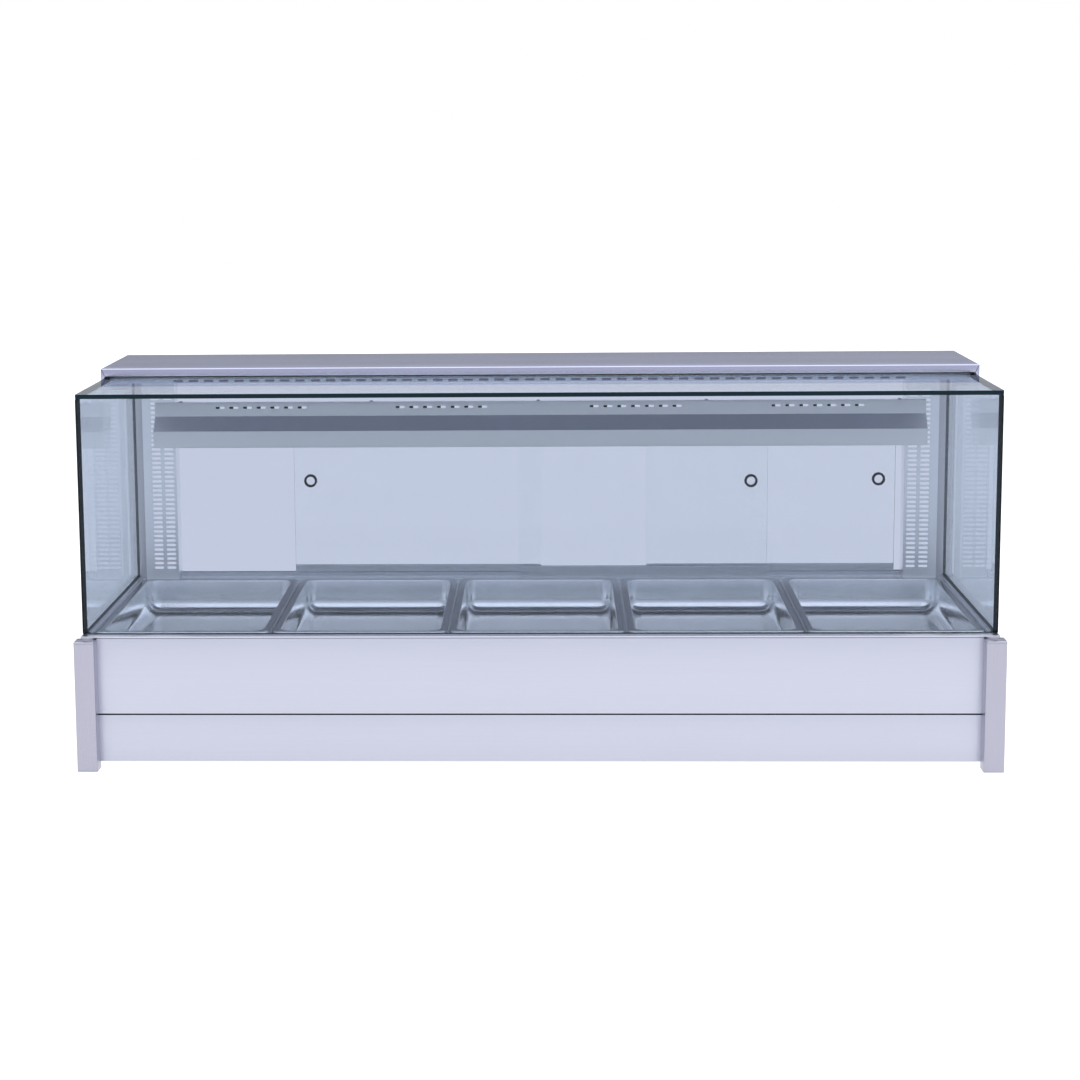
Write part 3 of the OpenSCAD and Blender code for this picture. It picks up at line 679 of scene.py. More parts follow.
# water well and heaters
wellLook = {"wall": 1.4, "corner": 18.0, "fillet": 14.0, "clearX": 6.5, "clearY": 8.0}
low, high = mmBox("well_ends")
wellTop = high[2]
wellIn = [(panBoxes[0][0][0] + wellLook["clearX"], panBoxes[0][0][1] + wellLook["clearY"]),
          (panBoxes[4][1][0] - wellLook["clearX"], panBoxes[0][1][1] - wellLook["clearY"])]
wx, wy = (wellIn[0][0] + wellIn[1][0]) / 2, (wellIn[0][1] + wellIn[1][1]) / 2
whx, why = (wellIn[1][0] - wellIn[0][0]) / 2, (wellIn[1][1] - wellIn[0][1]) / 2
mesh = bmesh.new()
loops = [ringLoop(wx, wy, (high[0] - low[0]) / 2, (high[1] - low[1]) / 2, 3, wellTop),
         ringLoop(wx, wy, whx + 1.5, why + 1.5, wellLook["corner"], wellTop),
         ringLoop(wx, wy, whx + 0.4, why + 0.4, wellLook["corner"], wellTop - 0.4),
         ringLoop(wx, wy, whx, why, wellLook["corner"], wellTop - 1.5)]
for k in range(7):
    angle = math.pi / 2 * k / 6
    inset = wellLook["fillet"] * (1 - math.cos(angle))
    loops.append(ringLoop(wx, wy, whx - inset, why - inset, wellLook["corner"] - inset,
                          low[2] + wellLook["wall"] + wellLook["fillet"] * (1 - math.sin(angle))))
loft(mesh, loops, closeStart=False)
place("waterWell", mesh, [innerAlongX], ["well_floor", "well_walls", "well_ends"],
      thick=wellLook["wall"], crease=50)

rodLook = {"count": 3, "pitch": 500.0, "length": 430.0, "spread": 45.0, "radius": 4.25, "bend": 14.0,
           "stub": 15.0}
low, high = mmBox("heater_rods")
mesh = bmesh.new()
rodZ = high[2] - rodLook["radius"]
for i in range(rodLook["count"]):
    x0 = (i - 1) * rodLook["pitch"] - rodLook["length"] / 2
    reach, spread, bend = rodLook["length"] - rodLook["spread"], rodLook["spread"], rodLook["bend"]

    def coldEnd(side):
        turn = [(x0 + bend * (1 - math.cos(a)), wy + side * spread, rodZ - bend * (1 - math.sin(a)))
                for a in (math.pi / 2 * k / 6 for k in range(7))]
        return [(x0, wy + side * spread, low[2]), (x0, wy + side * spread, low[2] + rodLook["stub"])] + turn
    sweep = [(x0 + reach + spread * math.sin(a), wy - spread * math.cos(a), rodZ)
             for a in (math.pi * k / 20 for k in range(21))]
    points = coldEnd(-1) + sweep + list(reversed(coldEnd(1)))
    tube(mesh, points, rodLook["radius"], 16)
    for side in (-1, 1):
        lathe(mesh, [(8.5, 0), (8.5, 2.5), (6.5, 4.5), (4.4, 5.0)],
              (x0, wy + side * spread, mmBox("well_floor")[0][2] + 1.6), (0, 0, 1), 6)
place("heaterRods", mesh, [heaterSheath], ["heater_rods"])

tapLook = {"pipe": 10.0, "bore": 8.0, "body": 13.0, "nut": 15.0, "bend": 22.0, "gripEnd": 4.6}
high = tapBox[1]
stemY = middle(mmBox("drain_lever"), 1)
mesh = bmesh.new()
pipe, bore, nut = tapLook["pipe"], tapLook["bore"], tapLook["nut"]
lathe(mesh, [(20, 0), (20, 1.6), (19, 2.4), (bore, 2.4), (bore, -0.5), (19, -0.5)],
      (tapX, wy, high[2] - 2.4), (0, 0, 1), 40)
bendRadius = tapLook["bend"]
drop = [(tapX, wy, high[2] - 3), (tapX, wy, pipeZ + bendRadius)]
drop += [(tapX, wy + bendRadius * (1 - math.cos(a)), pipeZ + bendRadius * (1 - math.sin(a)))
         for a in (math.pi / 2 * k / 8 for k in range(1, 9))]
drop += [(tapX, stemY - 14, pipeZ)]
tube(mesh, drop, pipe, 28)
lathe(mesh, [(pipe, 0), (nut - 1.2, 0), (nut, 1.2), (nut, 6), (nut - 1.2, 7.2), (pipe, 7.2)],
      (tapX, stemY - 16, pipeZ), (0, 1, 0), 6)
lathe(mesh, [(tapLook["body"] - 1, 0), (tapLook["body"], 1), (tapLook["body"], 17),
             (tapLook["body"] - 1, 18)],
      (tapX, stemY - 9, pipeZ), (0, 1, 0), 32)
spout = high[1] - stemY - 9.2
lathe(mesh, [(pipe - 1, 0), (pipe, 0.8), (pipe, spout - 0.8), (pipe - 0.8, spout), (bore, spout),
             (bore, spout - 14.8), (0.05, spout - 14.8)], (tapX, stemY + 9, pipeZ), (0, 1, 0), 32)
lathe(mesh, [(9, 0), (9, 3), (6, 4.5), (6, 17.6)], (tapX, stemY, pipeZ + 0.2), (0, 0, 1), 24)
place("drainTap", mesh, [brassTap], ["drain_tap"])
low, high = mmBox("drain_lever")
mesh = bmesh.new()
lathe(mesh, [(7.2, 0), (8, 0.8), (8, 3.6), (7, 4.8), (3.4, 5), (3.2, 4.4), (0.05, 4.4)],
      (tapX, stemY, low[2]), (0, 0, 1), 32)
grip = []
for k in range(11):
    t = k / 10
    swell = math.sin(math.pi * min(1, t * 0.62 + 0.35)) ** 2
    halfWide = 3.6 + 1.4 * swell if t < 0.92 else tapLook["gripEnd"]
    grip.append((tapX + 5 + t * (high[0] - tapX - 5), halfWide))
top = [(x, stemY + w) for x, w in grip]
endRound = tapLook["gripEnd"]
rounding = [(high[0] - endRound + endRound * math.cos(a), stemY + endRound * math.sin(a))
            for a in (math.pi / 2 - math.pi * k / 8 for k in range(9))]
straight = [p for p in top if p[0] < high[0] - endRound]
outline = straight + rounding + [(x, 2 * stemY - y) for x, y in reversed(straight)]
prism(mesh, outline, low[2] + 1, low[2] + 4, "z")
place("drainLever", mesh, [redPlastic], ["drain_lever"], "drain_lever", bevel=0.5)
print("well and drain made")

# staff-side controls
knobLook = {"ribs": 24, "pointer": 4.8, "pointerLong": 31.2, "ticks": 11, "tickTurn": 27, "tickStart": 22.6}
faceY = rearFace


def ribbedLoops(x, z, rows, ribs):
    # ribbed rings round the Y axis; a row is the distance from the panel, the radius and the ribs' depth
    sides = ribs * 6
    loops = []
    for along, radius, depth in rows:
        loop = []
        for k in range(sides):
            angle = 2 * math.pi * k / sides
            reach = radius - depth * (0.5 - 0.5 * math.cos(ribs * angle))
            loop.append((x + reach * math.sin(angle), faceY + along, z + reach * math.cos(angle)))
        loops.append(loop)
    return loops


mesh = bmesh.new()
lathe(mesh, [(3.9, -22), (3.9, 0.8), (19.4, 0.8), (20, 1.3), (20, 4.6), (19.2, 5.6), (17.6, 5.9)],
      (knobX, faceY, knobZ), (0, 1, 0), 64)
rows = ((5.2, 17.0, 0.0), (6.5, 17.0, 0.7), (17.6, 16.4, 0.7), (19.2, 15.7, 0.4), (20, 14.6, 0.0))
loft(mesh, ribbedLoops(knobX, knobZ, rows, knobLook["ribs"]))
halfWide, halfLong = knobLook["pointer"] / 2, knobLook["pointerLong"] / 2
block(mesh, (knobX - halfWide, faceY + 18.6, knobZ - halfLong),
      (knobX + halfWide, faceY + 22, knobZ + halfLong),
      1.2, 1.0)
place("thermostatKnob", mesh, [greyPlastic], ["thermostat_knob"], "thermostat_knob")
mesh = bmesh.new()
block(mesh, (knobX - 0.8, faceY + 21.4, knobZ + 4), (knobX + 0.8, faceY + 22.0, knobZ + 14.6), 0.5, 0.25)
place("knobPointerLine", mesh, [whiteCeramic], body="thermostat_knob")
mesh = bmesh.new()
for k in range(knobLook["ticks"]):  # temperature ticks round the knob
    angle = math.radians(knobLook["tickTurn"] * (k - (knobLook["ticks"] - 1) / 2))
    near = knobLook["tickStart"]
    far, wide = (26.4, 0.55) if k % 5 == 0 else (25.0, 0.35)
    across = Vector((math.cos(angle), 0, -math.sin(angle)))
    away = Vector((math.sin(angle), 0, math.cos(angle)))
    centre = Vector((knobX, faceY, knobZ))
    low4 = [centre + away * near - across * wide, centre + away * far - across * wide,
            centre + away * far + across * wide, centre + away * near + across * wide]
    loft(mesh, [low4, [p + Vector((0, 0.25, 0)) for p in low4]])
place("thermostatTicks", mesh, [blackPlastic])
mesh = bmesh.new()
for b in rockerBoxes:
    x = middle(b, 0)
    rows = [(14, 17, 0.0, 2.2), (14, 17, 0.9, 2.2), (13.2, 16.2, 1.9, 1.8), (9.7, 12.7, 2.0, 1.2),
            (9.0, 12.0, 1.4, 1.0), (9.0, 12.0, -14, 1.0)]
    back = [(10.8, 13.8, 0.0, 1.2), (10.8, 13.8, -24.0, 1.2)]
    for part in (rows, back):
        loft(mesh, [[(px, faceY + along, pz) for px, pz, _ in ringLoop(x, knobZ, halfX, halfZ, radius, 0, 5)]
                    for halfX, halfZ, along, radius in part], closeStart=False)
bmesh.ops.recalc_face_normals(mesh, faces=mesh.faces)
place("switchFrames", mesh, [blackPlastic], ["switch_frames"])
rockerLook = {"halfWidth": 8.4, "tilt": math.radians(-8)}
for node, finish, slotName in (("power_rocker", redPlastic, "red_plastic"),
                               ("lamp_rocker", greenPlastic, "green_plastic")):
    x = middle(mmBox(node), 0)
    face = [(7, -10.1), (9.4, -10.1), (10, -9.6)]
    face += [(8.6 + 1.4 * (t / 9.6) ** 2, t) for t in (-7.5, -5, -2.5, 0, 2.5, 5, 7.5)]
    face += [(10, 9.6), (9.4, 10.1), (7, 10.1), (-5, 6), (-5, -6)]
    c, s = math.cos(rockerLook["tilt"]), math.sin(rockerLook["tilt"])
    outline = [(faceY - 6 + a * c - b * s, knobZ + a * s + b * c) for a, b in face]
    mesh = bmesh.new()
    prism(mesh, outline, x - rockerLook["halfWidth"], x + rockerLook["halfWidth"], "x")
    place(camel(node), mesh, [finish], [node], node, bevel=0.45, crease=30)
glandLook = {"ridges": 18}
mesh = bmesh.new()
hexNut = [(9, 0), (12.2, 0), (13, 0.8), (13, 6.6), (12.2, 7.4), (9, 7.6)]
lathe(mesh, hexNut, (glandX, faceY, glandZ), (0, 1, 0), 6)
rows = ((7.2, 9.6, 0), (8.2, 10, 0.5), (16, 9.9, 0.5), (18.4, 9.2, 0.2), (20.6, 7.6, 0), (22, 5.4, 0),
        (21.4, 5.05, 0), (-14, 5.0, 0))
loft(mesh, ribbedLoops(glandX, glandZ, rows, glandLook["ridges"]), closeStart=False, closeEnd=False)
lathe(mesh, [(8, -14), (8, -0.2)], (glandX, faceY, glandZ), (0, 1, 0), 40)
place("cableGland", mesh, [blackPlastic], ["cable_gland"])
print("controls made")

# fixed panes
paneLook = {"ease": 0.05, "corner": 2.0, "sealHeight": 0.8, "underCanopy": 12.0}


def pane(name, outline, spot, thick, side, glass, node, body="cabinet", holes=(), hiddenBack=False):
    # flat glass with a dark rim; a rear edge that is hidden under the canopy can stay clear
    mesh = bmesh.new()
    fillFlat(mesh, outline, holes, spot)
    piece = place(name, mesh, [glass, paneEdge], [node], body, thick=thick, side=side, rim=1)
    for face in piece.data.polygons:
        if hiddenBack and face.normal.y > 0.9:
            face.material_index = 0


def easedSheet(lowU, highU, lowV, highV):
    ease = paneLook["ease"]
    return slotHole((lowU + highU) / 2, (lowV + highV) / 2, highU - lowU - 2 * ease, highV - lowV - 2 * ease,
                    paneLook["corner"])


frontLow, frontHigh = mmBox("front_glass")
pane("frontGlass", easedSheet(frontLow[0], frontHigh[0], frontLow[2] + paneLook["sealHeight"], frontHigh[2]),
     lambda u, v: (u, frontLow[1], v), frontHigh[1] - frontLow[1], 1, caseGlass, "front_glass")
topLow, topHigh = mmBox("top_glass")
pane("topGlass", easedSheet(topLow[0], topHigh[0], topLow[1], topHigh[1]),
     lambda u, v: (u, v, topHigh[2]), topHigh[2] - topLow[2], 1, lidGlass, "top_glass",
     hiddenBack=True)
for node, way in (("side_glass_left", -1), ("side_glass_right", 1)):
    low, high = mmBox(node)
    face = high[0] if way > 0 else low[0]
    step = mmBox("canopy")[0][1] + paneLook["underCanopy"]
    e = paneLook["ease"]
    outline = [(low[1] + e, low[2] + e), (high[1] - e, low[2] + e), (high[1] - e, high[2] - e),
               (step, high[2] - e), (step, topLow[2] - e), (low[1] + e, topLow[2] - e)]
    pane(camel(node), outline, lambda u, v: (face, u, v), high[0] - low[0], way, endGlass, node)
low, high = frontLow, frontHigh
mesh = bmesh.new()
prism(mesh, [(low[1] + 0.3, low[2]), (high[1] - 0.3, low[2]),
             (high[1] - 0.3, low[2] + paneLook["sealHeight"]),
             (low[1] + 0.3, low[2] + paneLook["sealHeight"])], low[0] + 1, high[0] - 1, "x")
place("frontGlassSeal", mesh, [sealRubber], bevel=0.2)
low, high = mmBox("glass_channels")
channelLook = {"wide": 6.0, "wall": 1.4}
rails, gaskets = bmesh.new(), bmesh.new()
for way in (-1, 1):
    far = way * high[0]
    near = far - way * channelLook["wide"]
    prism(rails, [(near, low[2]), (far, low[2]), (far, high[2]), (far - way * 1.4, high[2]),
                  (far - way * 2.2, low[2] + 1.6), (near, low[2] + channelLook["wall"])], low[1], high[1],
                  "y")
    prism(gaskets, [(far + way * 0.3, low[2]), (far + way * 3.2, low[2]), (far + way * 3.2, high[2] - 0.6),
                    (far + way * 0.3, high[2] - 1.2)], low[1] + 1, high[1] - 1, "y")
place("glassChannels", rails, [profileAlu], ["glass_channels"], bevel=0.35)
place("glassGaskets", gaskets, [sealRubber], bevel=0.4)
print("panes made")

# rear frame
columnLook = {"bend": 1.8, "rows": 39, "step": 9.6, "first": 24.0, "apart": 13.0, "slotLong": 19.0,
              "slotHigh": 5.0,
              "slotRound": 2.45, "deep": 58.0, "wall": 1.2}
postFront = mmBox("rear_post_left")[0][1]
for node in ("rear_post_left", "rear_post_right"):
    low, high = mmBox(node)
    x, y, half = (low[0] + high[0]) / 2, (low[1] + high[1]) / 2, (high[0] - low[0]) / 2
    mesh = bmesh.new()
    loft(mesh, [ringLoop(x, y, h, h, r, z) for h, r, z in (
        (half, 1.6, low[2]), (half, 1.6, high[2]), (half - 1.5, 0.6, high[2]), (half - 1.5, 0.6, low[2]))],
        wrap=True)
    place(camel(node), mesh, [postSteel], [node])
for node, way in (("vent_column_left", -1), ("vent_column_right", 1)):
    low, high = mmBox(node)
    near, far = (low[0], high[0]) if way > 0 else (high[0], low[0])
    mid = near + way * columnLook["deep"] / 2

    def columnSlot(x, z):
        return lambda runOf: slotHole(z, runOf(x, low[1]), columnLook["slotHigh"], columnLook["slotLong"],
                                      columnLook["slotRound"])
    holes = [columnSlot(mid + side * columnLook["apart"],
                        low[2] + columnLook["first"] + row * columnLook["step"])
             for row in range(columnLook["rows"]) for side in (-1, 1)]
    mesh = sheetSurface([(near, high[1]), (near, low[1]), (far, low[1])], low[2], high[2], "z",
                        columnLook["bend"], holes)
    place(camel(node), mesh, [columnSteel], [node], thick=columnLook["wall"], side=-way)
    mesh = bmesh.new()
    fold = near + way * columnLook["deep"]
    inside, front = fold - way * columnLook["wall"], low[1] + columnLook["wall"]
    prism(mesh, [(fold, front), (inside, front), (inside, postFront), (fold, postFront)],
          low[2] + 12, high[2] - 0.3, "z")
    bmesh.ops.recalc_face_normals(mesh, faces=mesh.faces)
    place(camel(node) + "Return", mesh, [columnSteel])
print("rear frame made")

# canopy
canopyLook = {"wall": 1.5, "bend": 2.0, "lip": 15.0, "skirt": 24.0, "wrap": 8.0, "edge": 0.3}
low, high = mmBox("canopy")
mesh = bmesh.new()
wrap, lip, skirt = canopyLook["wrap"], canopyLook["lip"], canopyLook["skirt"]
x1, y0, y1, top = high[0], low[1], high[1], high[2]
cache = {}


def corner(x, y, z):
    key = (round(x, 3), round(y, 3), round(z, 3))
    if key not in cache:
        cache[key] = mesh.verts.new(key)
    return cache[key]


def panel(*points):
    return mesh.faces.new([corner(*p) for p in points])


inner = x1 - wrap
panel((-x1, y0, top), (-inner, y0, top), (inner, y0, top), (x1, y0, top), (x1, y1, top), (-x1, y1, top))
panel((-inner, y0, top - lip), (inner, y0, top - lip), (inner, y0, top), (-inner, y0, top))
panel((x1, y1, top - skirt), (-x1, y1, top - skirt), (-x1, y1, top), (x1, y1, top))
for way in (-1, 1):
    parts = [
        [(inner, y0, top - lip), (inner, y0, top - lip - 1), (x1, y0, top - skirt), (x1, y0, top),
         (inner, y0, top)],
        [(x1, y0, top - skirt), (x1, y1, top - skirt), (x1, y1, top), (x1, y0, top)],
        [(inner, y0 + wrap, top - skirt), (inner, y1, top - skirt), (x1, y1, top - skirt),
         (x1, y0, top - skirt)]]
    for part in parts:
        points = [(way * x, y, z) for x, y, z in part]
        panel(*(points if way > 0 else list(reversed(points))))
mesh.normal_update()
folds = [e for e in mesh.edges if len(e.link_faces) == 2 and e.calc_face_angle() > 0.5]
bmesh.ops.bevel(mesh, geom=folds, offset=canopyLook["bend"], segments=3, profile=0.5, affect="EDGES")
place("canopy", mesh, [canopySteel], ["canopy"], thick=canopyLook["wall"],
      bevel=canopyLook["edge"])
mitreLook = {"gap": 0.5, "proud": 0.12, "deep": 0.6}
mesh = bmesh.new()
for way in (-1, 1):
    a = Vector((way * (x1 - 1.2), y0 - mitreLook["proud"], top - 1.2))
    b = Vector((way * inner, y0 - mitreLook["proud"], top - lip))
    ahead = (b - a).normalized()
    across = Vector((ahead.z, 0, -ahead.x)) * mitreLook["gap"]
    loop = [a - across, b - across, b + across, a + across]
    loft(mesh, [loop, [p + Vector((0, mitreLook["deep"], 0)) for p in loop]])
bmesh.ops.recalc_face_normals(mesh, faces=mesh.faces)
place("canopyMitres", mesh, [blackPlastic])
bar("canopy_seal", sealRubber, 1.2)

railLook = {"slots": 48, "pitch": 30.0, "long": 19.0, "high": 4.0, "rise": 4.5, "fold": 16.0, "wall": 1.2,
            "slotRound": 1.95, "bend": 1.4}
low, high = mmBox("vent_rail")


def railSlot(x):
    return lambda runOf: slotHole(x, runOf(low[1], low[2] + railLook["rise"]), railLook["long"],
                                  railLook["high"], railLook["slotRound"])


railXs = [(i - (railLook["slots"] - 1) / 2) * railLook["pitch"] for i in range(railLook["slots"])]
mesh = sheetSurface([(low[1], low[2]), (low[1], high[2]), (low[1] + railLook["fold"], high[2])],
                    low[0], high[0], "x", railLook["bend"], [railSlot(x) for x in railXs])
place("ventRail", mesh, [innerAlongX], ["vent_rail"], thick=railLook["wall"])
# louvre flaps bent in behind each rail slot; their dark grey is painted shade for the slot interiors
mesh = bmesh.new()
flap = [(low[1] + 2.6, low[2] + 1.2), (low[1] + 3.2, low[2] + 1.2), (low[1] + 1.9, low[2] + 7.4),
        (low[1] + 1.3, low[2] + 7.4)]
for x in railXs:
    prism(mesh, flap, x - railLook["long"] / 2 - 0.5, x + railLook["long"] / 2 + 0.5, "x")
place("railShadeLouvres", mesh, [greyPlastic])
low, high = mmBox("corner_brackets")
bracketLook = {"wide": 35.0, "wall": 3.0}
mesh = bmesh.new()
screws = bmesh.new()
for way in (-1, 1):
    edge = way * high[0]
    inside = way * (high[0] - bracketLook["wide"])
    wall = bracketLook["wall"]
    outline = [(inside, low[1]), (edge, low[1]), (edge, high[1]), (edge - way * wall, high[1]),
               (edge - way * wall, low[1] + wall), (inside, low[1] + wall)]
    prism(mesh, outline, low[2], high[2], "z")
    for z in (low[2] + 8, high[2] - 9):
        screwHead(screws, ((inside + edge) / 2 - way * 3, low[1], z), (0, -1, 0), 3.2, 1.6)
place("cornerBrackets", mesh, [innerAlongX], ["corner_brackets"], bevel=0.5)
place("bracketScrews", screws, [profileAlu])
print("canopy made")

# door tracks
low, high = mmBox("track_lower")
trackY, trackEnd, deckTop = low[1], high[1], low[2]
openHalf = -mmBox("track_upper")[0][0]
trackLook = {"wall": 1.5, "rib": 17.0, "ribWide": 2.0, "ribTop": 9.0, "lipTop": 4.0}
wall = trackLook["wall"]
midRib, farRib = trackY + trackLook["rib"], trackY + trackLook["rib"] + trackLook["ribWide"]
web, ribTop, lipTop = deckTop + wall, deckTop + trackLook["ribTop"], deckTop + trackLook["lipTop"]
mesh = bmesh.new()
prism(mesh, [(trackY, deckTop), (trackEnd, deckTop), (trackEnd, ribTop), (trackEnd - wall, ribTop),
             (trackEnd - wall, web), (farRib, web), (farRib, ribTop), (midRib, ribTop), (midRib, web),
             (trackY + wall, web), (trackY + wall, lipTop), (trackY, lipTop)], -openHalf, openHalf, "x")
for way in (-1, 1):
    prism(mesh, [(trackY, deckTop), (postFront, deckTop), (postFront, web), (trackY, web)],
          *sorted((way * openHalf, way * high[0])), "x")
place("trackLower", mesh, [profileAlu], ["track_lower"], bevel=0.3)
low, high = mmBox("track_upper")
base = high[2] - wall
mesh = bmesh.new()
prism(mesh, [(trackY, low[2]), (trackY + wall, low[2]), (trackY + wall, base), (midRib, base),
             (midRib, low[2]),
             (farRib, low[2]), (farRib, base), (trackEnd - wall, base), (trackEnd - wall, low[2]),
             (trackEnd, low[2]), (trackEnd, high[2]), (trackY, high[2])], low[0], high[0], "x")
place("trackUpper", mesh, [profileAlu], ["track_upper"], bevel=0.3)

# lamp hood
hoodLook = {"face": 30.0, "slant": 27.5, "reach": 28.0, "lip": 9.0, "top": 8.0, "wall": 1.2, "bend": 1.8,
            "groups": (-573.0, -200.0, 200.0, 573.0), "slots": 7, "pitch": 28.4, "long": 19.0, "high": 4.5,
            "down": 12.0,
            "slotRound": 2.2}
low, high = mmBox("hood")
faceY, topZ = high[1] - hoodLook["top"], high[2]
bendZ = topZ - hoodLook["face"]
turnZ = bendZ - hoodLook["slant"]
outY = faceY - hoodLook["reach"]
lowZ = low[2]


def hoodSlot(x):
    return lambda runOf: slotHole(x, runOf(faceY, topZ - hoodLook["down"]), hoodLook["long"],
                                  hoodLook["high"], hoodLook["slotRound"])


slotXs = [g + (i - hoodLook["slots"] // 2) * hoodLook["pitch"]
          for g in hoodLook["groups"] for i in range(hoodLook["slots"])]
mesh = sheetSurface([(faceY + hoodLook["top"], topZ), (faceY, topZ), (faceY, bendZ), (outY, turnZ),
                     (outY, lowZ), (outY + hoodLook["lip"], lowZ)], low[0], high[0], "x", hoodLook["bend"],
                     [hoodSlot(x) for x in slotXs])
place("lampHood", mesh, [hoodSteel], ["hood"], thick=hoodLook["wall"], side=-1)
mesh = bmesh.new()
inY = faceY + 1.0
for way in (-1, 1):
    end = way * (high[0] - 1.4)
    prism(mesh, [(inY, topZ - 1.4), (faceY + 1.1, bendZ), (outY + 1.3, turnZ - 0.6),
                 (outY + 1.3, lowZ + 1.3), (inY + 0.4, lowZ + 1.3)],
          *sorted((end, end - way * 1.2)), "x")
place("hoodEnds", mesh, [hoodSteel], bevel=0.3)
# black tabs behind the hood slots: painted shade, dark sheets standing for the shade inside the slots
mesh = bmesh.new()
shadeTab = [(faceY + 1.6, topZ - 15), (faceY + 2.6, topZ - 15), (faceY + 8.0, topZ - 7.8), (faceY + 8, topZ - 9),
       (faceY + 2.6, topZ - 16), (faceY + 1.6, topZ - 16)]
for x in slotXs:
    left = x - hoodLook["long"] / 2
    prism(mesh, shadeTab, left - 1, left + 8, "x")
place("hoodSlotShadeTabs", mesh, [blackPlastic], bevel=0.1)
low, high = mmBox("hood_screws")
mesh = bmesh.new()
for x in (low[0] + 4, -345.0, 0.0, 345.0, high[0] - 4):
    screwHead(mesh, (x, (low[1] + high[1]) / 2, low[2]), (0, 0, 1), 4.0, high[2] - low[2])
place("hoodScrews", mesh, [profileAlu], ["hood_screws"])

low, high = mmBox("lamp_reflector")
mesh = sheetSurface([(low[1], high[2]), (high[1] - 1, high[2]), (high[1] - 1, low[2])], low[0], high[0], "x",
                    9.0, bendSteps=10)
place("lampReflector", mesh, [mirrorAlu], ["lamp_reflector"], thick=0.9, side=1)
low, high = mmBox("heat_lamps")
lampY, lampZ = middle((low, high), 1), middle((low, high), 2)
lampLook = {"pitch": 500.0, "length": 450.0, "outer": 4.95, "inner": 3.9, "coil": 1.5, "wire": 0.28,
            "turns": 70}
glassMesh, coilMesh = bmesh.new(), bmesh.new()
for i in (-1, 0, 1):
    start = i * lampLook["pitch"] - lampLook["length"] / 2
    long = lampLook["length"]
    outer, bore = lampLook["outer"], lampLook["inner"]
    lathe(glassMesh, [(outer * 0.55, 0), (outer * 0.8, 1.5), (outer, 5), (outer, long - 5),
                      (outer * 0.8, long - 1.5),
                      (outer * 0.55, long), (bore * 0.5, long), (bore, long - 6), (bore, 6), (bore * 0.5, 0)],
          (start, lampY, lampZ), (1, 0, 0), 28, wrap=True)
    wind = [(start + 18 + (long - 36) * k / (lampLook["turns"] * 8),
             lampY + lampLook["coil"] * math.cos(math.pi * k / 4),
             lampZ + lampLook["coil"] * math.sin(math.pi * k / 4))
            for k in range(lampLook["turns"] * 8 + 1)]
    tube(coilMesh, [(start + 1, lampY, lampZ)] + wind + [(start + long - 1, lampY, lampZ)], lampLook["wire"],
         5)
bmesh.ops.recalc_face_normals(glassMesh, faces=glassMesh.faces)
place("lampTubes", glassMesh, [lampGlass], ["heat_lamps"])
place("lampCoils", coilMesh, [filament])
low, high = mmBox("lamp_holders")
mesh = bmesh.new()
clips = bmesh.new()
for i in (-1, 0, 1):
    for s in (-1, 1):
        x = i * lampLook["pitch"] + s * lampLook["length"] / 2
        block(mesh, (x - 7, low[1], low[2]), (x + 7, high[1], high[2]), 3.0, 1.2)
        lathe(clips, [(5.2, -1.4), (6.4, -1.4), (6.4, 1.4), (5.2, 1.4)], (x - s * 8.6, lampY, lampZ),
              (1, 0, 0), 28, wrap=True)
place("lampHolders", mesh, [whiteCeramic], ["lamp_holders"])
place("lampCollars", clips, [profileAlu])
print("hood and lamps made")

# sliding doors
doorLook = {"shoeWall": 2.0, "floor": 3.0, "foot": 3.0, "flange": 13.5, "bore": 8.8, "hole": 11.5}
for name in ("left", "middle", "right"):
    body = "door_" + name
    low, high = mmBox("door_glass_" + name)
    ring = mmBox("door_ring_" + name)
    ringX, ringZ = middle(ring, 0), middle(ring, 2)
    run, thick = (low[1] + high[1]) / 2, high[1] - low[1]
    hole = circle(ringX, ringZ, doorLook["hole"], 40)
    pane("doorGlass" + name.capitalize(), easedSheet(low[0], high[0], low[2], high[2]), lambda u,
         v: (u, low[1], v), thick, 1, clearGlass, "door_glass_" + name, body, [hole])
    shoeLow, shoeHigh = mmBox("door_shoe_" + name)
    a, b, z0, z1 = shoeLow[1], shoeHigh[1], shoeLow[2], shoeHigh[2]
    s = doorLook["shoeWall"]
    mesh = bmesh.new()
    foot, bed = doorLook["foot"], z0 + doorLook["floor"]
    prism(mesh, [(a, z0), (a + foot, z0), (a + foot, z0 + 1), (b - foot, z0 + 1), (b - foot, z0), (b, z0),
                 (b, z1 - 1), (b - 0.8, z1), (b - s, z1), (b - s, bed), (a + s, bed), (a + s, z1),
                 (a + 0.8, z1), (a, z1 - 1)],
          shoeLow[0], shoeHigh[0], "x")
    place("doorShoe" + name.capitalize(), mesh, [profileAlu], ["door_shoe_" + name], body,
          bevel=0.3)
    mesh = bmesh.new()
    f, c = doorLook["flange"], doorLook["bore"]
    g = (ring[1][1] - ring[0][1]) / 2
    lathe(mesh, [(c + 0.9, -g), (f - 1.2, -g), (f - 0.3, -g + 0.35), (f, -g + 1.0), (f, -g + 1.5),
                 (11.5, -g + 1.5),
                 (11.5, g - 1.5), (f, g - 1.5), (f, g - 1.0), (f - 0.3, g - 0.35), (f - 1.2, g), (c + 0.9, g),
                 (c + 0.2, g - 0.4), (c, g - 1.2), (c, -g + 1.2), (c + 0.2, -g + 0.4)],
          (ringX, run, ringZ), (0, 1, 0), 56, wrap=True)
    bmesh.ops.recalc_face_normals(mesh, faces=mesh.faces)
    place("doorRing" + name.capitalize(), mesh, [greyPlastic], ["door_ring_" + name], body,
          crease=50)
print("doors made")

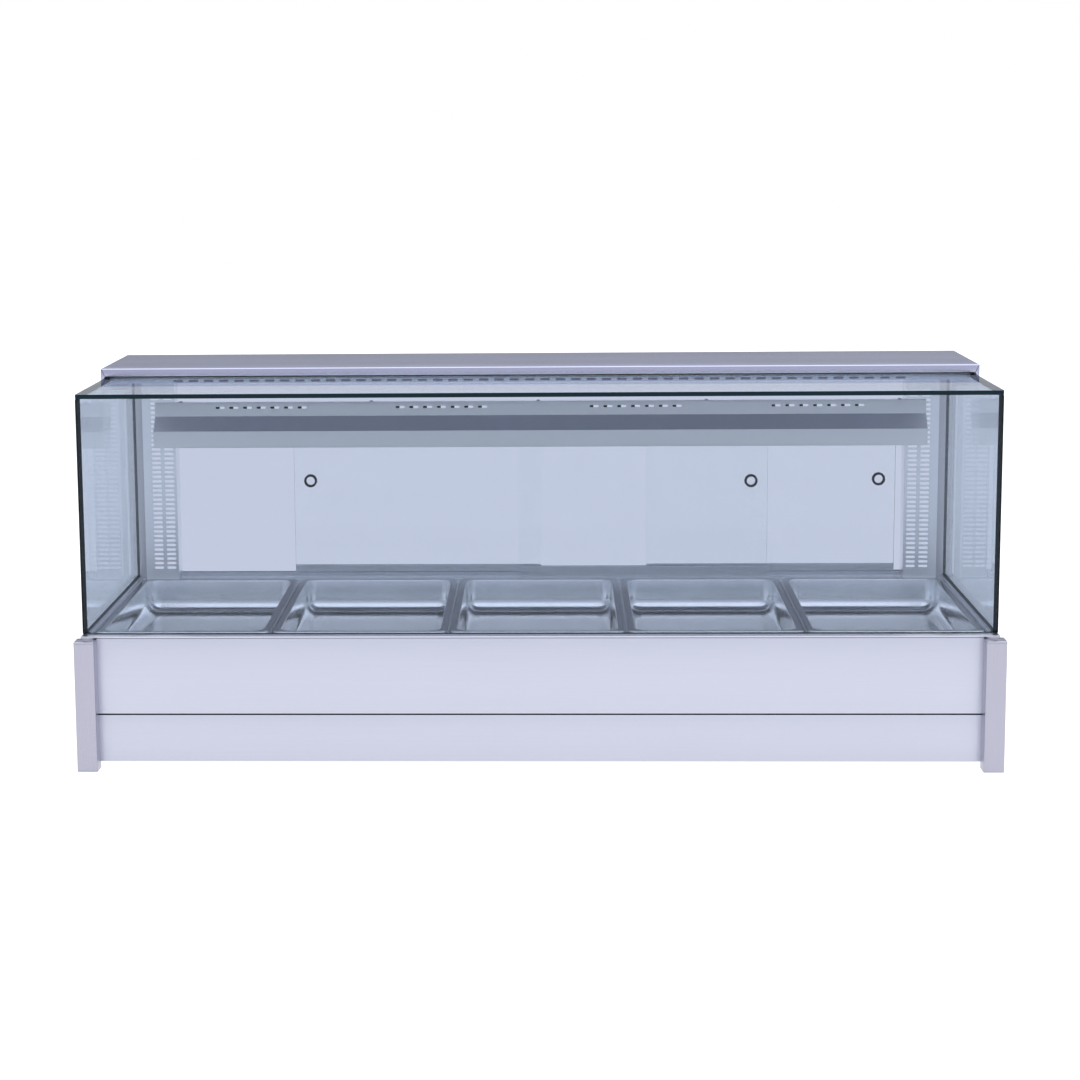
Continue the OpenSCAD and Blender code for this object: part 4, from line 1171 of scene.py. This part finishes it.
# floor, sky and camera
floorLook = {"size": 30.0, "drop": 0.0002}
mesh = bpy.data.meshes.new("studioFloor")
half, floorZ = floorLook["size"] / 2, -floorLook["drop"]
mesh.from_pydata([(-half, -half, floorZ), (half, -half, floorZ), (half, half, floorZ), (-half, half, floorZ)],
                 [], [(0, 1, 2, 3)])
floor = bpy.data.objects.new("studioFloor", mesh)
scene.collection.objects.link(floor)
paper, graph = newFinish("paleFloor")
mottle = graph.noise((1.5, 1.5, 1.5), 2.0, 0.5)
opaque(graph, {
    "Base Color": graph.mixColour(mottle, (0.20, 0.20, 0.205, 1), (0.22, 0.22, 0.22, 1)),
    "Roughness": 0.9, "Specular IOR Level": 0.1, "Emission Color": (1, 1, 1, 1), "Emission Strength": 0.955})
mesh.materials.append(paper)

skyLook = {"back": (0.40, 0.42, 0.48), "front": (0.94, 0.95, 1.03), "ceiling": (2.3, 2.3, 2.33),
           "left": 0.85, "right": 1.15}
world = bpy.data.worlds.new("softStudio")
scene.world = world
world.use_nodes = True
graph = Graph(world.node_tree)
east, north, up = graph.split(graph.node("ShaderNodeTexCoord", out="Generated"))
ahead = graph.ramp(north, -0.6, 0.75)
level = graph.mixColour(ahead, (*skyLook["front"], 1), (*skyLook["back"], 1))
height = graph.ramp(up, 0.32, 0.66)
dome = graph.mixColour(height, level, (*skyLook["ceiling"], 1))
lean = graph.ramp(east, -0.8, 0.8, skyLook["left"], skyLook["right"])
soft = graph.node("ShaderNodeBackground", {}, {"Color": dome, "Strength": lean})
plain = graph.node("ShaderNodeBackground", {}, {"Color": (1, 1, 1, 1), "Strength": 1.0})
seen = graph.node("ShaderNodeLightPath", out="Is Camera Ray")
glint = graph.node("ShaderNodeLightPath", out="Is Singular Ray")
white = graph.node("ShaderNodeMath", {"operation": "MAXIMUM"}, {0: seen, 1: glint})
both = graph.node("ShaderNodeMixShader", {}, {0: white, 1: soft, 2: plain})
graph.node("ShaderNodeOutputWorld", {}, {"Surface": both})

cameraLook = {"at": (31.38, -4584.83, 1169.93), "yaw": 0.0351, "pitch": 0.1532, "roll": 0.0086,
              "focal": 2367.99, "centre": (471.7, 498.0), "frame": 1080.0, "sensor": 36.0}
c, s = math.cos(cameraLook["yaw"]), math.sin(cameraLook["yaw"])
cp, sp = math.cos(cameraLook["pitch"]), math.sin(cameraLook["pitch"])
cr, sr = math.cos(cameraLook["roll"]), math.sin(cameraLook["roll"])
turn = Matrix(((c, -s, 0), (s, c, 0), (0, 0, 1))) @ Matrix(((1, 0, 0), (0, cp, sp), (0, -sp, cp))) \
    @ Matrix(((cr, 0, sr), (0, 1, 0), (-sr, 0, cr)))
right, forward, upward = turn.col[0], turn.col[1], turn.col[2]
pose = Matrix.Identity(4)
for row in range(3):
    pose[row][0], pose[row][1], pose[row][2] = right[row], upward[row], -forward[row]
    pose[row][3] = cameraLook["at"][row] * mm
lens = bpy.data.cameras.new("studioCamera")
lens.sensor_width = cameraLook["sensor"]
lens.lens = cameraLook["sensor"] * cameraLook["focal"] / cameraLook["frame"]
lens.shift_x = (cameraLook["frame"] / 2 - cameraLook["centre"][0]) / cameraLook["frame"]
lens.shift_y = (cameraLook["centre"][1] - cameraLook["frame"] / 2) / cameraLook["frame"]
lens.clip_end = 60
camera = bpy.data.objects.new("studioCamera", lens)
scene.collection.objects.link(camera)
camera.matrix_world = pose
scene.camera = camera
scene.view_settings.view_transform = "Standard"
print("scene set")
